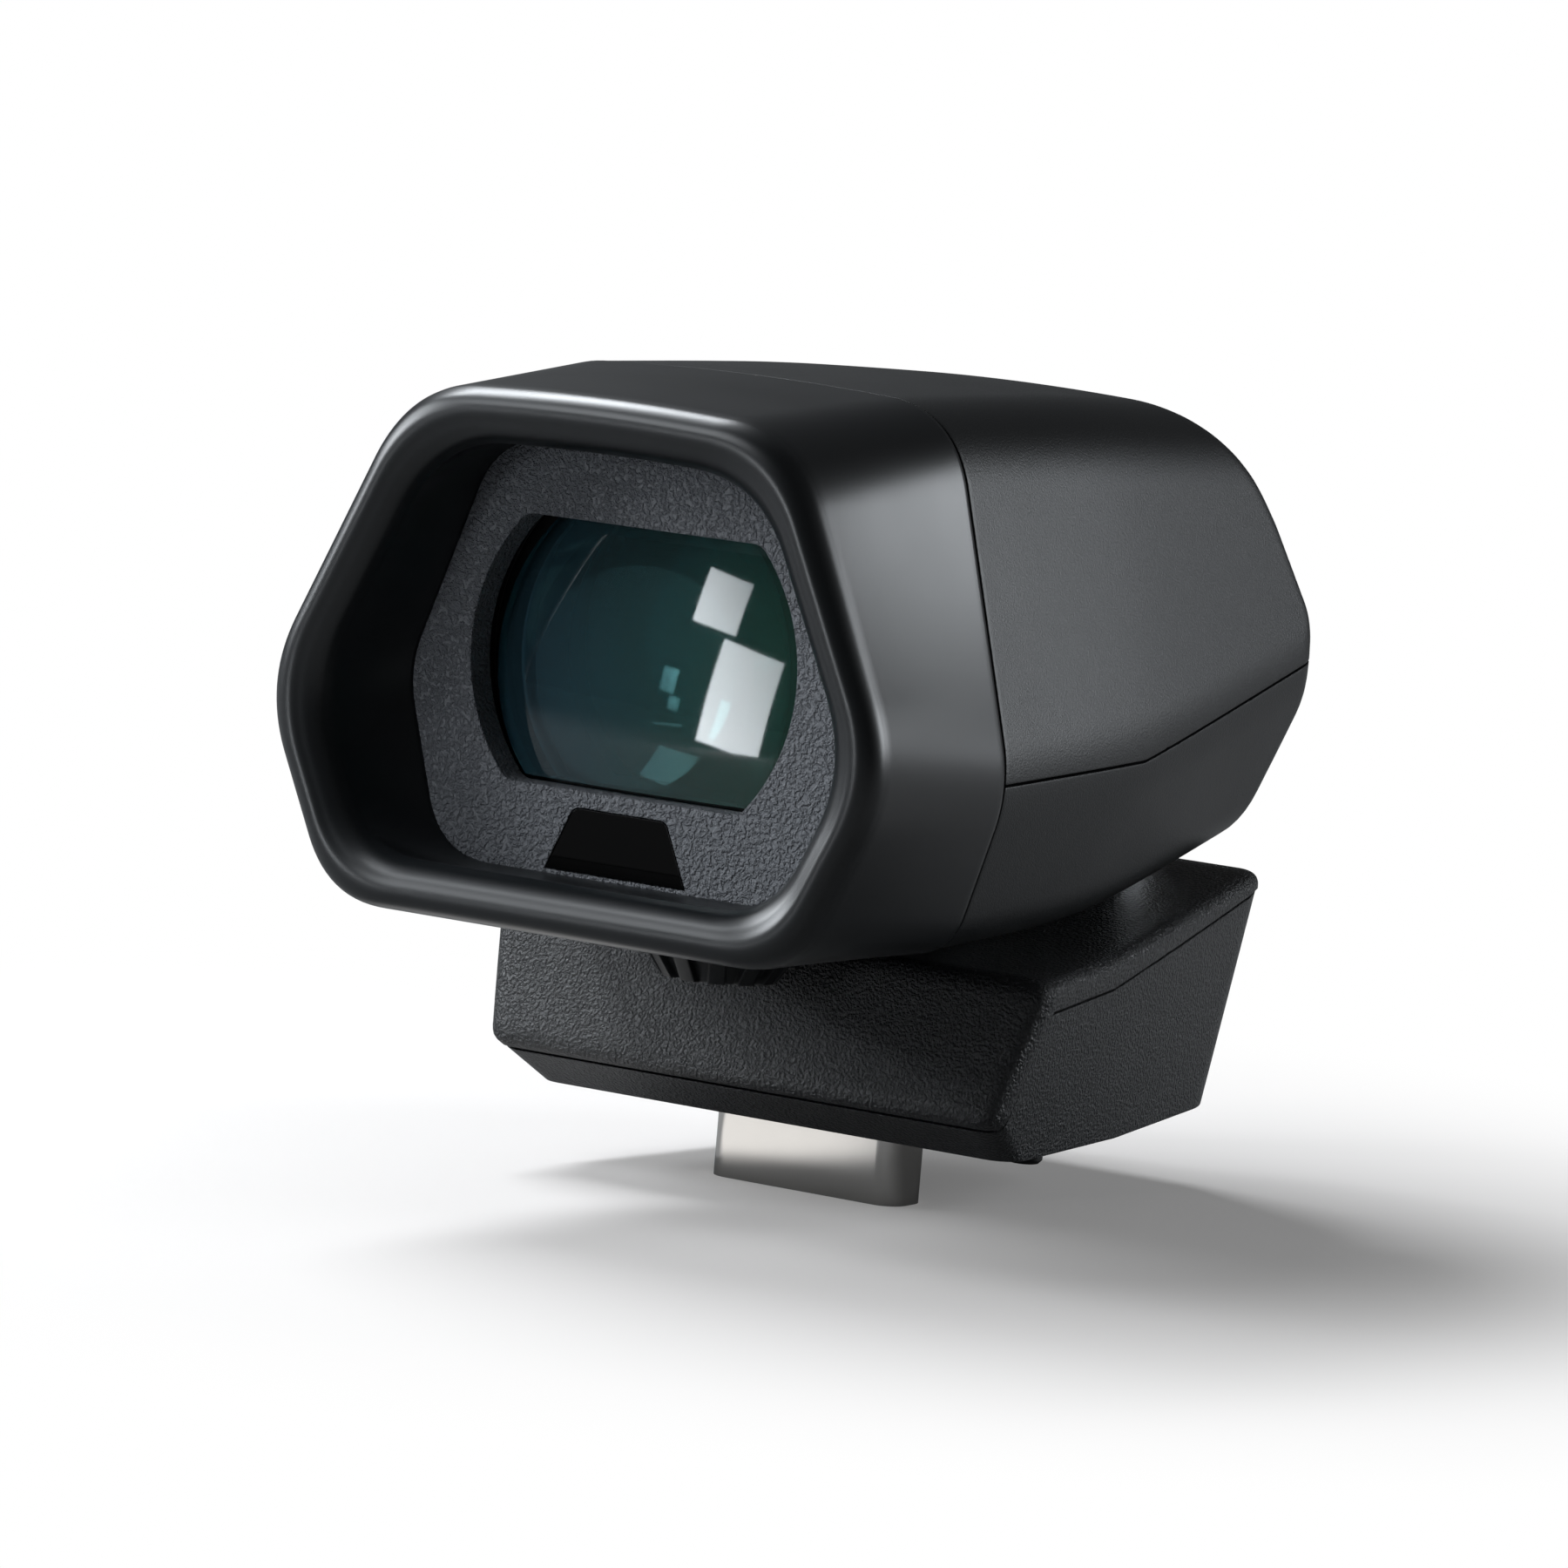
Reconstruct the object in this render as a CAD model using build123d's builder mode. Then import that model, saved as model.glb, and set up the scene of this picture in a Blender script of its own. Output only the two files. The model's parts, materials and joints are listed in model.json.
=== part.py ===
"""Electronic viewfinder that docks on a camera: a tilting head with an eyepiece, on a low base with a plug.

Millimetres. X is to the right, Y is away from the eye and Z is up.
The origin is the middle of the plug, on the seat face under the base.
"""
from build123d import *
from math import copysign, cos, radians, sin, sqrt
import os

os.makedirs("parts", exist_ok=True)

# Driving dimensions of the head: six-sided outlines across the optical axis at three stations
axis_height = 38.5
front_y = -21.0
front_top_half = 19.5
front_top = 60.3
front_ridge_half = 27.3
front_ridge = 31.5
front_floor_half = 23.2
front_floor = 17.5
bend_y = 4.0
bend_top_half = 18.6
bend_top = 60.2
bend_ridge_half = 26.0
bend_ridge = 32.0
bend_floor_half = 21.3
bend_floor = 17.8
end_y = 46.0
end_top_half = 15.4
end_top = 58.0
end_ridge_half = 20.0
end_ridge = 39.4
end_floor_half = 16.5
end_floor = 25.2
top_crown = 0.8
top_corner_radius = 8.0
ridge_corner_radius = 8.0
floor_corner_radius = 4.0
head_wall = 1.6
split_gap = 0.2

# Rear of the head, seen from the side and from above
rear_ridge_y = 42.3
rear_ridge = 38.6
rear_face_top_y = 35.4
rear_face_top = 50.0
rear_arc_y = 25.0
rear_arc_height = 59.2
rear_start_y = 4.0
rear_start = 62.5
rear_slope_run = 21.5
rear_slope_drop = 39.6
rear_ridge_radius = 2.0
rear_corner_radius = 11.0
plan_corner_half = 21.1
plan_wide_half = 33.0
plan_wide_y = -10.0

# Driving dimensions of the eyecup and the eyepiece
lip_y = -43.6
lip_top_half = 17.5
lip_top = 58.6
lip_crown = 0.8
lip_vertex_half = 28.9
lip_vertex = 33.8
lip_floor_half = 21.4
lip_floor = 17.2
lip_corner_radius = 7.0
lip_wall = 4.4
lip_round = 2.0
plate_y = -34.5
plate_top_half = 14.0
plate_top = 54.6
plate_vertex_half = 20.4
plate_vertex = 35.5
plate_floor_half = 16.4
plate_floor = 21.1
plate_corner_radius = 4.5
plate_crown = 0.6
window_radius = 15.2
window_half_height = 10.6
window_corner_radius = 1.5

# Driving dimensions of the base
seat_front_y = -8.3
seat_back_y = 34.8
chin_y = -13.9
chin = 3.6
chin_top = 4.6
tray_top_y = -10.6
tray_top = 15.2
deck_bend_y = 3.0
deck_bend = 15.9
deck_back = 20.8
seat_front_half = 23.7
seat_back_half = 18.4
deck_front_half = 28.3
deck_back_half = 19.8
base_plan_front = -16.0
base_back_corner_radius = 8.0
base_edge_radius = 2.2
base_wall = 1.5
heel_start_y = 12.0
heel_rise = 1.2
cover_split_front = 2.9
cover_split_corner_y = -8.9
cover_split_corner = 12.5
cover_split_bend_y = 3.6
cover_split_bend = 13.3
cover_split_back = 19.0

# Tilt hinge
hinge_y = 33.0
hinge_height = 17.8
hinge_barrel_radius = 4.6
knuckle_radius = 3.2
tilt_clearance = 0.4
pin_diameter = 3.0
running_clearance = 0.05

# Dioptre adjustment
knob_y = -17.8
knob_bottom = 12.5
knob_top = 16.4
knob_bottom_radius = 4.7
knob_top_radius = 7.4
crank_throw = 2.0
crank_pin_radius = 0.75
crank_clearance = 0.12
focus_travel = 1.6

# Plug and locating pins
plug_width = 18.2
plug_depth = 5.5
plug_reach = 6.3
plug_wall = 0.4
plug_corner_radius = 2.0
locating_pin_x = 18.8
locating_pin_y = 1.0
locating_pin_diameter = 3.0
locating_pin_reach = 1.3

# Shared fits
seat_clearance = 0.1
seam_gap = 0.25
recess_narrowing = 3
overrun = 60.0

optical_axis = Axis((0, 0, axis_height), (0, 1, 0))
hinge_axis_plane = Plane(origin=(0, hinge_y, hinge_height), x_dir=(0, 1, 0), z_dir=(1, 0, 0))
front_station = (
    front_y,
    front_top_half,
    front_top,
    front_ridge_half,
    front_ridge,
    front_floor_half,
    front_floor,
)
bend_station = (bend_y, bend_top_half, bend_top, bend_ridge_half, bend_ridge, bend_floor_half, bend_floor)
end_station = (end_y, end_top_half, end_top, end_ridge_half, end_ridge, end_floor_half, end_floor)


def across(y):
    """Plane square to the optical axis at y: its x is X, its y is Z and it faces the eye."""
    return Plane(origin=(0, y, 0), x_dir=(1, 0, 0), z_dir=(0, -1, 0))


def barrel_hexagon(y, sizes, crown, radii, inset=0):
    """Six-sided outline with rounded corners at y, pulled in by inset."""
    top_half, top, vertex_half, vertex, floor_half, floor = sizes
    with BuildSketch(across(y)) as face:
        with BuildLine():
            ThreePointArc((top_half, top), (0, top + crown), (-top_half, top))
            Polyline(
                (-top_half, top),
                (-vertex_half, vertex),
                (-floor_half, floor),
                (floor_half, floor),
                (vertex_half, vertex),
                (top_half, top),
            )
        make_face()
        fillet(face.vertices().group_by(Axis.Y)[-1], radius=radii[0])
        by_side = face.vertices().sort_by(Axis.X)
        fillet([by_side[0], by_side[-1]], radius=radii[1])
        fillet(face.vertices().group_by(Axis.Y)[0], radius=radii[-1])
        if inset:
            offset(amount=-inset, mode=Mode.REPLACE)
    return face.sketch


def head_outline(y, inset=0):
    """Outline of the head at y, read between the stations, pulled in by inset."""
    near, far = (front_station, bend_station) if y < bend_y else (bend_station, end_station)
    share = (y - near[0]) / (far[0] - near[0])
    sizes = [start + share * (end - start) for start, end in zip(near[1:], far[1:])]
    radii = (top_corner_radius, ridge_corner_radius, floor_corner_radius)
    return barrel_hexagon(y, sizes, top_crown, radii, inset)


def head_form(inset=0):
    """Solid of the head behind the eyecup, pulled in by inset but open to the front."""
    with BuildPart() as form:
        for station in (front_station, bend_station, end_station):
            add(head_outline(station[0], inset))
        loft(ruled=True)
        with BuildSketch(Plane.YZ) as side:
            with BuildLine():
                Polyline(
                    (rear_ridge_y - rear_slope_run, rear_ridge - rear_slope_drop),
                    (-overrun, rear_ridge - rear_slope_drop),
                    (-overrun, rear_start + overrun),
                    (rear_start_y, rear_start + overrun),
                    (rear_start_y, rear_start),
                )
                ThreePointArc(
                    (rear_start_y, rear_start),
                    (rear_arc_y, rear_arc_height),
                    (rear_face_top_y, rear_face_top),
                )
                Polyline(
                    (rear_face_top_y, rear_face_top),
                    (rear_ridge_y, rear_ridge),
                    (rear_ridge_y - rear_slope_run, rear_ridge - rear_slope_drop),
                )
            make_face()
            fillet(side.vertices().sort_by(Axis.X)[-1], radius=rear_ridge_radius)
            if inset:
                offset(amount=-inset, mode=Mode.REPLACE)
        extrude(amount=overrun, both=True, mode=Mode.INTERSECT)
        with BuildSketch(Plane.XY) as plan:
            with BuildLine():
                Polyline(
                    (-plan_wide_half, -overrun),
                    (plan_wide_half, -overrun),
                    (plan_wide_half, plan_wide_y),
                    (plan_corner_half, rear_ridge_y),
                    (-plan_corner_half, rear_ridge_y),
                    (-plan_wide_half, plan_wide_y),
                    close=True,
                )
            make_face()
            fillet(plan.vertices().group_by(Axis.Y)[-1], radius=rear_corner_radius)
            if inset:
                offset(amount=-inset, mode=Mode.REPLACE)
        extrude(amount=front_top + overrun, mode=Mode.INTERSECT)
    return form.part


def above_line(points, height):
    """Block over a line drawn in the side view, up to height."""
    with BuildPart() as block:
        with BuildSketch(Plane.YZ):
            with BuildLine():
                Polyline(*points, (points[-1][0], height), (points[0][0], height), close=True)
            make_face()
        extrude(amount=overrun, both=True)
    return block.part


def flat_sided(y, radius, half_height):
    """Circle about the optical axis, cut flat above and below, as a face at y."""
    with BuildSketch(across(y)) as face:
        with Locations((0, axis_height)):
            Circle(radius)
            Rectangle(2 * radius, 2 * half_height, mode=Mode.INTERSECT)
    return face.sketch


def ring_along_x(start, thickness, outer, inner):
    """Washer about the hinge axis that starts at x = start."""
    with BuildPart() as ring:
        with BuildSketch(hinge_axis_plane.offset(start)):
            Circle(outer)
            Circle(inner, mode=Mode.SUBTRACT)
        extrude(amount=thickness)
    return ring.part


def ribbon(points, bend, width, thickness, middle=0):
    """Flat flexible lead along points drawn in the side view."""
    with BuildPart() as lead:
        with BuildSketch(Plane.YZ.offset(middle - width / 2)):
            with BuildLine():
                FilletPolyline(*points, radius=bend)
            trace(line_width=thickness)
        extrude(amount=width)
    return lead.part


def upright_screw(x, y, bottom, head_height, head_radius, length, radius):
    """Screw driven upwards, with its head at the bottom and a cross recess in it."""
    with BuildPart() as screw:
        with Locations((x, y, bottom)):
            Cylinder(head_radius, head_height, align=(Align.CENTER, Align.CENTER, Align.MIN))
        with Locations((x, y, bottom + head_height)):
            Cylinder(radius, length, align=(Align.CENTER, Align.CENTER, Align.MIN))
        with Locations((x, y, bottom)):
            slot_width = head_radius / recess_narrowing
            for recess_x, recess_y in ((head_radius, slot_width), (slot_width, head_radius)):
                Box(recess_x, recess_y, head_height, mode=Mode.SUBTRACT)
    return screw.part


def lying_screw(x, z, y, head_height, head_radius, length, radius):
    """Screw driven away from the eye, with its head's bearing face at y."""
    with BuildPart() as screw:
        with BuildSketch(across(y)):
            with Locations((x, z)):
                Circle(head_radius)
        extrude(amount=head_height)
        with BuildSketch(across(y + length)):
            with Locations((x, z)):
                Circle(radius)
        extrude(amount=length)
        with BuildSketch(across(y - head_height / 2)):
            with Locations((x, z)):
                Rectangle(head_radius, head_radius / recess_narrowing)
                Rectangle(head_radius / recess_narrowing, head_radius)
        extrude(amount=head_height, mode=Mode.SUBTRACT)
    return screw.part


# Head housings
head_inside = head_form(head_wall)
split_line = [
    (-overrun, front_ridge),
    (front_y, front_ridge),
    (bend_y, bend_ridge),
    (end_y, end_ridge),
    (overrun, end_ridge),
]
lifted_split = [(y, z + split_gap) for y, z in split_line]
above_split = above_line(split_line, front_top + overrun)
above_lifted_split = above_line(lifted_split, front_top + overrun)

clamp_x = 11.0
clamp_top = 55.0
clamp_floor = 23.3
clamp_boss_radius = 2.2
clamp_boss_depth = 6.0
clamp_screw_radius = 0.8
clamp_head_radius = 1.3
clamp_head_height = 1.1
clamp_screw_length = 7.0
collar_depth = 2.2
chassis_front = front_y + collar_depth
chassis_plate = 1.5
clamp_boss_front = chassis_front + chassis_plate
long_boss_x = 14.5
long_boss_y = 20.0
long_boss_radius = 2.3
long_post_top = 29.0
housing_screw_radius = 0.9
housing_head_radius = 1.7
housing_head_height = 1.0
housing_screw_bite = 4.0

# Bosses are drawn as plain posts and kept only inside the outer skin
with BuildPart() as upper_bosses:
    with BuildSketch(across(clamp_boss_front + clamp_boss_depth)):
        for side in (-1, 1):
            with Locations((side * clamp_x, clamp_top)):
                Circle(clamp_boss_radius)
            with Locations((side * clamp_x, (clamp_top + front_top) / 2)):
                Rectangle(clamp_boss_radius, front_top - clamp_top)
    extrude(amount=clamp_boss_depth)
    with BuildSketch(Plane.XY.offset(long_post_top)):
        with Locations((-long_boss_x, long_boss_y), (long_boss_x, long_boss_y)):
            Circle(long_boss_radius)
    extrude(amount=front_top - long_post_top)
    add(head_form(head_wall / 2), mode=Mode.INTERSECT)

with BuildPart() as head_upper_housing:
    add(head_form())
    add(head_inside, mode=Mode.SUBTRACT)
    add(upper_bosses.part)
    add(above_lifted_split, mode=Mode.INTERSECT)
    with BuildSketch(across(clamp_boss_front + clamp_boss_depth)):
        with Locations((-clamp_x, clamp_top), (clamp_x, clamp_top)):
            Circle(clamp_screw_radius)
    extrude(amount=clamp_boss_depth, mode=Mode.SUBTRACT)
    with BuildSketch(Plane.XY.offset(long_post_top)):
        with Locations((-long_boss_x, long_boss_y), (long_boss_x, long_boss_y)):
            Circle(housing_screw_radius)
    extrude(amount=housing_screw_bite, mode=Mode.SUBTRACT)
head_upper_housing.part.label = "head_upper_housing"
export_step(head_upper_housing.part, "parts/head_upper_housing.step")


def floor_inside(y):
    """Height of the inside of the head's floor at y."""
    near, far = (front_station, bend_station) if y < bend_y else (bend_station, end_station)
    share = (y - near[0]) / (far[0] - near[0])
    return near[-1] + share * (far[-1] - near[-1]) + head_wall


housing_head_seat = floor_inside(long_boss_y)
knob_shaft_radius = 1.5
bush_radius = 2.4
bush_flange_radius = 3.3
bush_flange = 0.4
bush_drop = 0.3
arm_thickness = 3.0
arm_top_y = 27.5
arm_top = 24.4
knuckle_half = 9.9
knuckle_inner_half = 5.4
knuckle_opening_clearance = 0.3
foot_half = 8.0
foot_start_y = 12.0
foot_thickness = 1.5
foot_screw_x = 6.0
foot_screw_ys = (14.5, 21.5)
foot_screw_radius = 0.7
foot_screw_head_radius = 1.3
foot_screw_head = 0.8
foot_screw_bite = 1.2
board_post_x = 10.2
board_post_ys = (10.0, 27.0)
board_post_radius = 1.4
driver_board_bottom = 27.2
small_screw_radius = 0.6
small_screw_bite = 2.5

with BuildPart() as lower_bosses:
    with BuildSketch(across(clamp_boss_front + clamp_boss_depth)):
        for side in (-1, 1):
            with Locations((side * clamp_x, clamp_floor)):
                Circle(clamp_boss_radius)
            with Locations((side * clamp_x, (clamp_floor + front_floor) / 2)):
                Rectangle(clamp_boss_radius, clamp_floor - front_floor)
    extrude(amount=clamp_boss_depth)
    with BuildSketch(Plane.XY.offset(front_floor)):
        with Locations((-long_boss_x, long_boss_y), (long_boss_x, long_boss_y)):
            Circle(long_boss_radius)
    extrude(amount=long_post_top - front_floor)
    with BuildSketch(Plane.XY.offset(front_floor)):
        for post_y in board_post_ys:
            with Locations((-board_post_x, post_y), (board_post_x, post_y)):
                Circle(board_post_radius)
    extrude(amount=driver_board_bottom - front_floor)
    add(head_form(head_wall / 2), mode=Mode.INTERSECT)

with BuildPart() as head_lower_housing:
    add(head_form())
    add(head_inside, mode=Mode.SUBTRACT)
    add(lower_bosses.part)
    add(above_split, mode=Mode.SUBTRACT)
    with BuildSketch(across(clamp_boss_front + clamp_boss_depth)):
        with Locations((-clamp_x, clamp_floor), (clamp_x, clamp_floor)):
            Circle(clamp_screw_radius)
    extrude(amount=clamp_boss_depth, mode=Mode.SUBTRACT)
    # Screw passages up through the long posts, with their heads sunk in the floor
    with BuildSketch(Plane.XY):
        with Locations((-long_boss_x, long_boss_y), (long_boss_x, long_boss_y)):
            Circle(housing_screw_radius + seat_clearance)
    extrude(amount=overrun, mode=Mode.SUBTRACT)
    with BuildSketch(Plane.XY):
        with Locations((-long_boss_x, long_boss_y), (long_boss_x, long_boss_y)):
            Circle(housing_head_radius + seat_clearance)
    extrude(amount=housing_head_seat, mode=Mode.SUBTRACT)
    with BuildSketch(Plane.XY.offset(driver_board_bottom)):
        for post_y in board_post_ys:
            with Locations((-board_post_x, post_y), (board_post_x, post_y)):
                Circle(small_screw_radius)
    extrude(amount=-small_screw_bite, mode=Mode.SUBTRACT)
    # Bush hole for the knob's shaft
    with BuildSketch(Plane.XY):
        with Locations((0, knob_y)):
            Circle(bush_radius)
    extrude(amount=axis_height, mode=Mode.SUBTRACT)
    # Foot screws bite into the floor
    for screw_y in foot_screw_ys:
        with Locations(
            (-foot_screw_x, screw_y, floor_inside(screw_y)), (foot_screw_x, screw_y, floor_inside(screw_y))
        ):
            Cylinder(foot_screw_radius, 2 * foot_screw_bite, mode=Mode.SUBTRACT)
    # Hollow round the barrel of the hinge, and the way in for the knuckle's arms
    with BuildSketch(hinge_axis_plane):
        Circle(hinge_barrel_radius + tilt_clearance)
    extrude(amount=overrun, both=True, mode=Mode.SUBTRACT)
    with BuildSketch(Plane.YZ):
        with BuildLine():
            Line((hinge_y, hinge_height), (arm_top_y, arm_top))
        trace(line_width=arm_thickness + 2 * knuckle_opening_clearance)
    extrude(amount=knuckle_half + knuckle_opening_clearance, both=True, mode=Mode.SUBTRACT)
head_lower_housing.part.label = "head_lower_housing"
export_step(head_lower_housing.part, "parts/head_lower_housing.step")

# Eyepiece bezel: a collar inside the housings, a tapering snout and the plate that faces the eye
collar_inset = head_wall + seat_clearance
snout_inset = 2.9
plate_thickness = 1.6
snout_wall = 1.2
clamp_tab_radius = 2.2
clamp_tab_front = chassis_front - collar_depth / 2
window_tube = 1.1
window_tube_wall = 0.9
plate_corner_radii = (plate_corner_radius, plate_corner_radius, plate_corner_radius)
plate_sizes = (plate_top_half, plate_top, plate_vertex_half, plate_vertex, plate_floor_half, plate_floor)
plate_cover = 0.9
plate_back = plate_y + plate_thickness


def snout(grow, front, back):
    """Tapering body of the eyepiece between front and back, made larger by grow."""
    with BuildPart() as body:
        add(barrel_hexagon(front, plate_sizes, plate_crown, plate_corner_radii, -plate_cover - grow))
        add(head_outline(back, snout_inset - grow))
        loft(ruled=True)
    return body.part


def eyepiece_opening(y, grow=0):
    """Flat-sided opening in front of the eye lens, as a face at y."""
    with BuildSketch(across(y)) as face:
        with Locations((0, axis_height)):
            Circle(window_radius + grow)
            Rectangle(2 * (window_radius + grow), 2 * (window_half_height + grow), mode=Mode.INTERSECT)
        fillet(face.vertices(), radius=window_corner_radius)
    return face.sketch


sensor_top_half = 4.3
sensor_top = 26.5
sensor_floor_half = 6.5
sensor_floor = 21.5
sensor_corner_radius = 0.8
sensor_window_thickness = 0.8
sensor_window_recess = 0.05


def sensor_outline(y, clearance=0):
    """Trapezoid of the sensor window, as a face at y."""
    with BuildSketch(across(y)) as face:
        with BuildLine():
            Polyline(
                (-sensor_top_half, sensor_top),
                (-sensor_floor_half, sensor_floor),
                (sensor_floor_half, sensor_floor),
                (sensor_top_half, sensor_top),
                close=True,
            )
        make_face()
        fillet(face.vertices().group_by(Axis.Y)[-1], radius=sensor_corner_radius)
        if clearance:
            offset(amount=clearance, mode=Mode.REPLACE)
    return face.sketch


snout_back = front_y - seam_gap

# The crank under the lenses, and the tongue of the carriage that it drives
crank_disc_radius = 3.2
crank_disc = 1.0
bush_seat = floor_inside(knob_y + bush_flange_radius)
crank_disc_bottom = bush_seat + bush_flange + running_clearance
crank_disc_top = crank_disc_bottom + crank_disc
crank_pin_length = 3.4
tongue_x = 1.7
tongue_half = 2.9
tongue_wall = 1.3
tongue_half_depth = crank_pin_radius + crank_clearance + tongue_wall
tongue_lift = 0.4
notch_clearance = 0.5
notch_left = -crank_disc_radius - notch_clearance
notch_right = tongue_x + tongue_half + notch_clearance
notch_y = knob_y - tongue_half_depth - focus_travel - notch_clearance
tongue_bottom = crank_disc_top + tongue_lift
sensor_lead_x = -6.5
sensor_lead_width = 2.2
sensor_lead_height = 22.0
lead_thickness = 0.2
lead_slot = 0.8

with BuildPart() as bezel_hollow:
    add(barrel_hexagon(plate_back, plate_sizes, plate_crown, plate_corner_radii, snout_wall - plate_cover))
    add(head_outline(chassis_front, snout_inset + snout_wall))
    loft(ruled=True)

with BuildPart() as eyepiece_bezel:
    add(snout(0, plate_y, snout_back))
    extrude(head_outline(chassis_front, collar_inset), amount=chassis_front - snout_back)
    add(bezel_hollow.part, mode=Mode.SUBTRACT)
    # Tabs that the clamp screws hold
    with BuildSketch(across(chassis_front)):
        for side in (-1, 1):
            with Locations((side * clamp_x, clamp_top), (side * clamp_x, clamp_floor)):
                Circle(clamp_tab_radius)
    extrude(amount=chassis_front - clamp_tab_front)
    # Short tube behind the opening, then the opening itself and the sensor window's place
    extrude(eyepiece_opening(plate_back + window_tube, window_tube_wall), amount=window_tube)
    extrude(
        eyepiece_opening(plate_back + window_tube),
        amount=window_tube + plate_thickness,
        mode=Mode.SUBTRACT,
    )
    extrude(sensor_outline(plate_back, seat_clearance), amount=plate_thickness, mode=Mode.SUBTRACT)
    with BuildSketch(across(chassis_front)):
        for side in (-1, 1):
            with Locations((side * clamp_x, clamp_top), (side * clamp_x, clamp_floor)):
                Circle(clamp_screw_radius + seat_clearance)
    extrude(amount=chassis_front - clamp_tab_front, mode=Mode.SUBTRACT)
    # Room under the snout for the crank and the carriage's tongue
    with BuildSketch(across(chassis_front)):
        with BuildLine():
            Polyline(
                (notch_left, 0),
                (notch_right, 0),
                (notch_right, tongue_bottom + crank_disc),
                (notch_left, tongue_bottom + crank_disc),
                close=True,
            )
        make_face()
    extrude(amount=chassis_front - notch_y, mode=Mode.SUBTRACT)
eyepiece_bezel.part.label = "eyepiece_bezel"
export_step(eyepiece_bezel.part, "parts/eyepiece_bezel.step")

bezel_screws = [
    lying_screw(
        side * clamp_x,
        z,
        clamp_tab_front,
        clamp_head_height,
        clamp_head_radius,
        clamp_screw_length,
        clamp_screw_radius,
    )
    for side in (-1, 1)
    for z in (clamp_top, clamp_floor)
]
with BuildPart() as bezel_screw_set:
    add(bezel_screws)
bezel_screw_set.part.label = "bezel_screws"
export_step(bezel_screw_set.part, "parts/bezel_screws.step")

# Eyecup: soft rubber over the snout, with a rolled lip, and the stiff frame moulded into its back
lip_sizes = (lip_top_half, lip_top, lip_vertex_half, lip_vertex, lip_floor_half, lip_floor)
lip_radii = (lip_corner_radius, lip_corner_radius, lip_corner_radius)
frame_depth = 2.0
frame_inset = 0.9
frame_width = 1.7

with BuildPart() as eyecup_hollow:
    add(barrel_hexagon(lip_y, lip_sizes, lip_crown, lip_radii, lip_wall))
    add(barrel_hexagon(plate_y, plate_sizes, plate_crown, plate_corner_radii))
    loft(ruled=True)

with BuildPart() as eyecup:
    add(barrel_hexagon(lip_y, lip_sizes, lip_crown, lip_radii))
    add(head_outline(snout_back))
    loft(ruled=True)
    lip_edges = eyecup.faces().sort_by(Axis.Y)[0].edges()
    fillet(lip_edges, radius=lip_round)
    add(eyecup_hollow.part, mode=Mode.SUBTRACT)
    add(snout(seat_clearance, plate_y, snout_back), mode=Mode.SUBTRACT)
    with BuildSketch(across(snout_back)):
        add(head_outline(snout_back, frame_inset - seat_clearance))
        add(head_outline(snout_back, frame_inset + frame_width + seat_clearance), mode=Mode.SUBTRACT)
    extrude(amount=frame_depth + seat_clearance, mode=Mode.SUBTRACT)
eyecup.part.label = "eyecup"
export_step(eyecup.part, "parts/eyecup.step")

with BuildPart() as eyecup_frame:
    with BuildSketch(across(snout_back)):
        add(head_outline(snout_back, frame_inset))
        add(head_outline(snout_back, frame_inset + frame_width), mode=Mode.SUBTRACT)
    extrude(amount=frame_depth)
eyecup_frame.part.label = "eyecup_frame"
export_step(eyecup_frame.part, "parts/eyecup_frame.step")

# Eye sensor: dark window flush in the plate, the sensor behind it and its small board
sensor_chip_half = 2.0
sensor_chip_height = 2.4
sensor_chip_depth = 0.6
sensor_board_half = 7.0
sensor_board_bottom = 21.9
sensor_board_top = 27.0
sensor_board_depth = 0.6
sensor_middle = (sensor_top + sensor_floor) / 2
sensor_board_middle = (sensor_board_top + sensor_board_bottom) / 2

with BuildPart() as proximity_window:
    sensor_window_back = plate_y + sensor_window_recess + sensor_window_thickness
    extrude(sensor_outline(sensor_window_back), amount=sensor_window_thickness)
proximity_window.part.label = "proximity_window"
export_step(proximity_window.part, "parts/proximity_window.step")

with BuildPart() as proximity_sensor:
    with BuildSketch(across(plate_back)):
        with Locations((0, sensor_middle)):
            Rectangle(2 * sensor_chip_half, sensor_chip_height)
    extrude(amount=sensor_chip_depth)
proximity_sensor.part.label = "proximity_sensor"
export_step(proximity_sensor.part, "parts/proximity_sensor.step")

with BuildPart() as proximity_board:
    with BuildSketch(across(plate_back + sensor_board_depth)):
        with Locations((0, sensor_board_middle)):
            Rectangle(2 * sensor_board_half, sensor_board_top - sensor_board_bottom)
    extrude(amount=sensor_board_depth)
proximity_board.part.label = "proximity_board"
export_step(proximity_board.part, "parts/proximity_board.step")

# Optics chassis: front plate held by the clamp screws, rear plate for the display, four rails between
carriage_radius = 17.0
carriage_half_height = 12.6
carriage_clearance = 0.4
chassis_back = 1.5
chassis_back_inset = 3.0
chassis_back_half = 21.0
chassis_back_half_height = 15.5
display_window_half = 6.0
display_window_half_height = 4.9
rail_x = 17.6
rail_lift = 10.5
rail_width = 2.0
rail_height = 3.0
rod_x = 19.8
rod_radius = 1.0
display_screw_x = 9.6
display_screw_lift = 7.6
chassis_front_back = chassis_front + chassis_plate
chassis_back_front = chassis_back - chassis_plate
rod_places = [(-rod_x, axis_height), (rod_x, axis_height)]
display_screw_places = [
    (-display_screw_x, axis_height + display_screw_lift),
    (display_screw_x, axis_height - display_screw_lift),
]
clamp_places = [(side * clamp_x, z) for side in (-1, 1) for z in (clamp_top, clamp_floor)]

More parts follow.
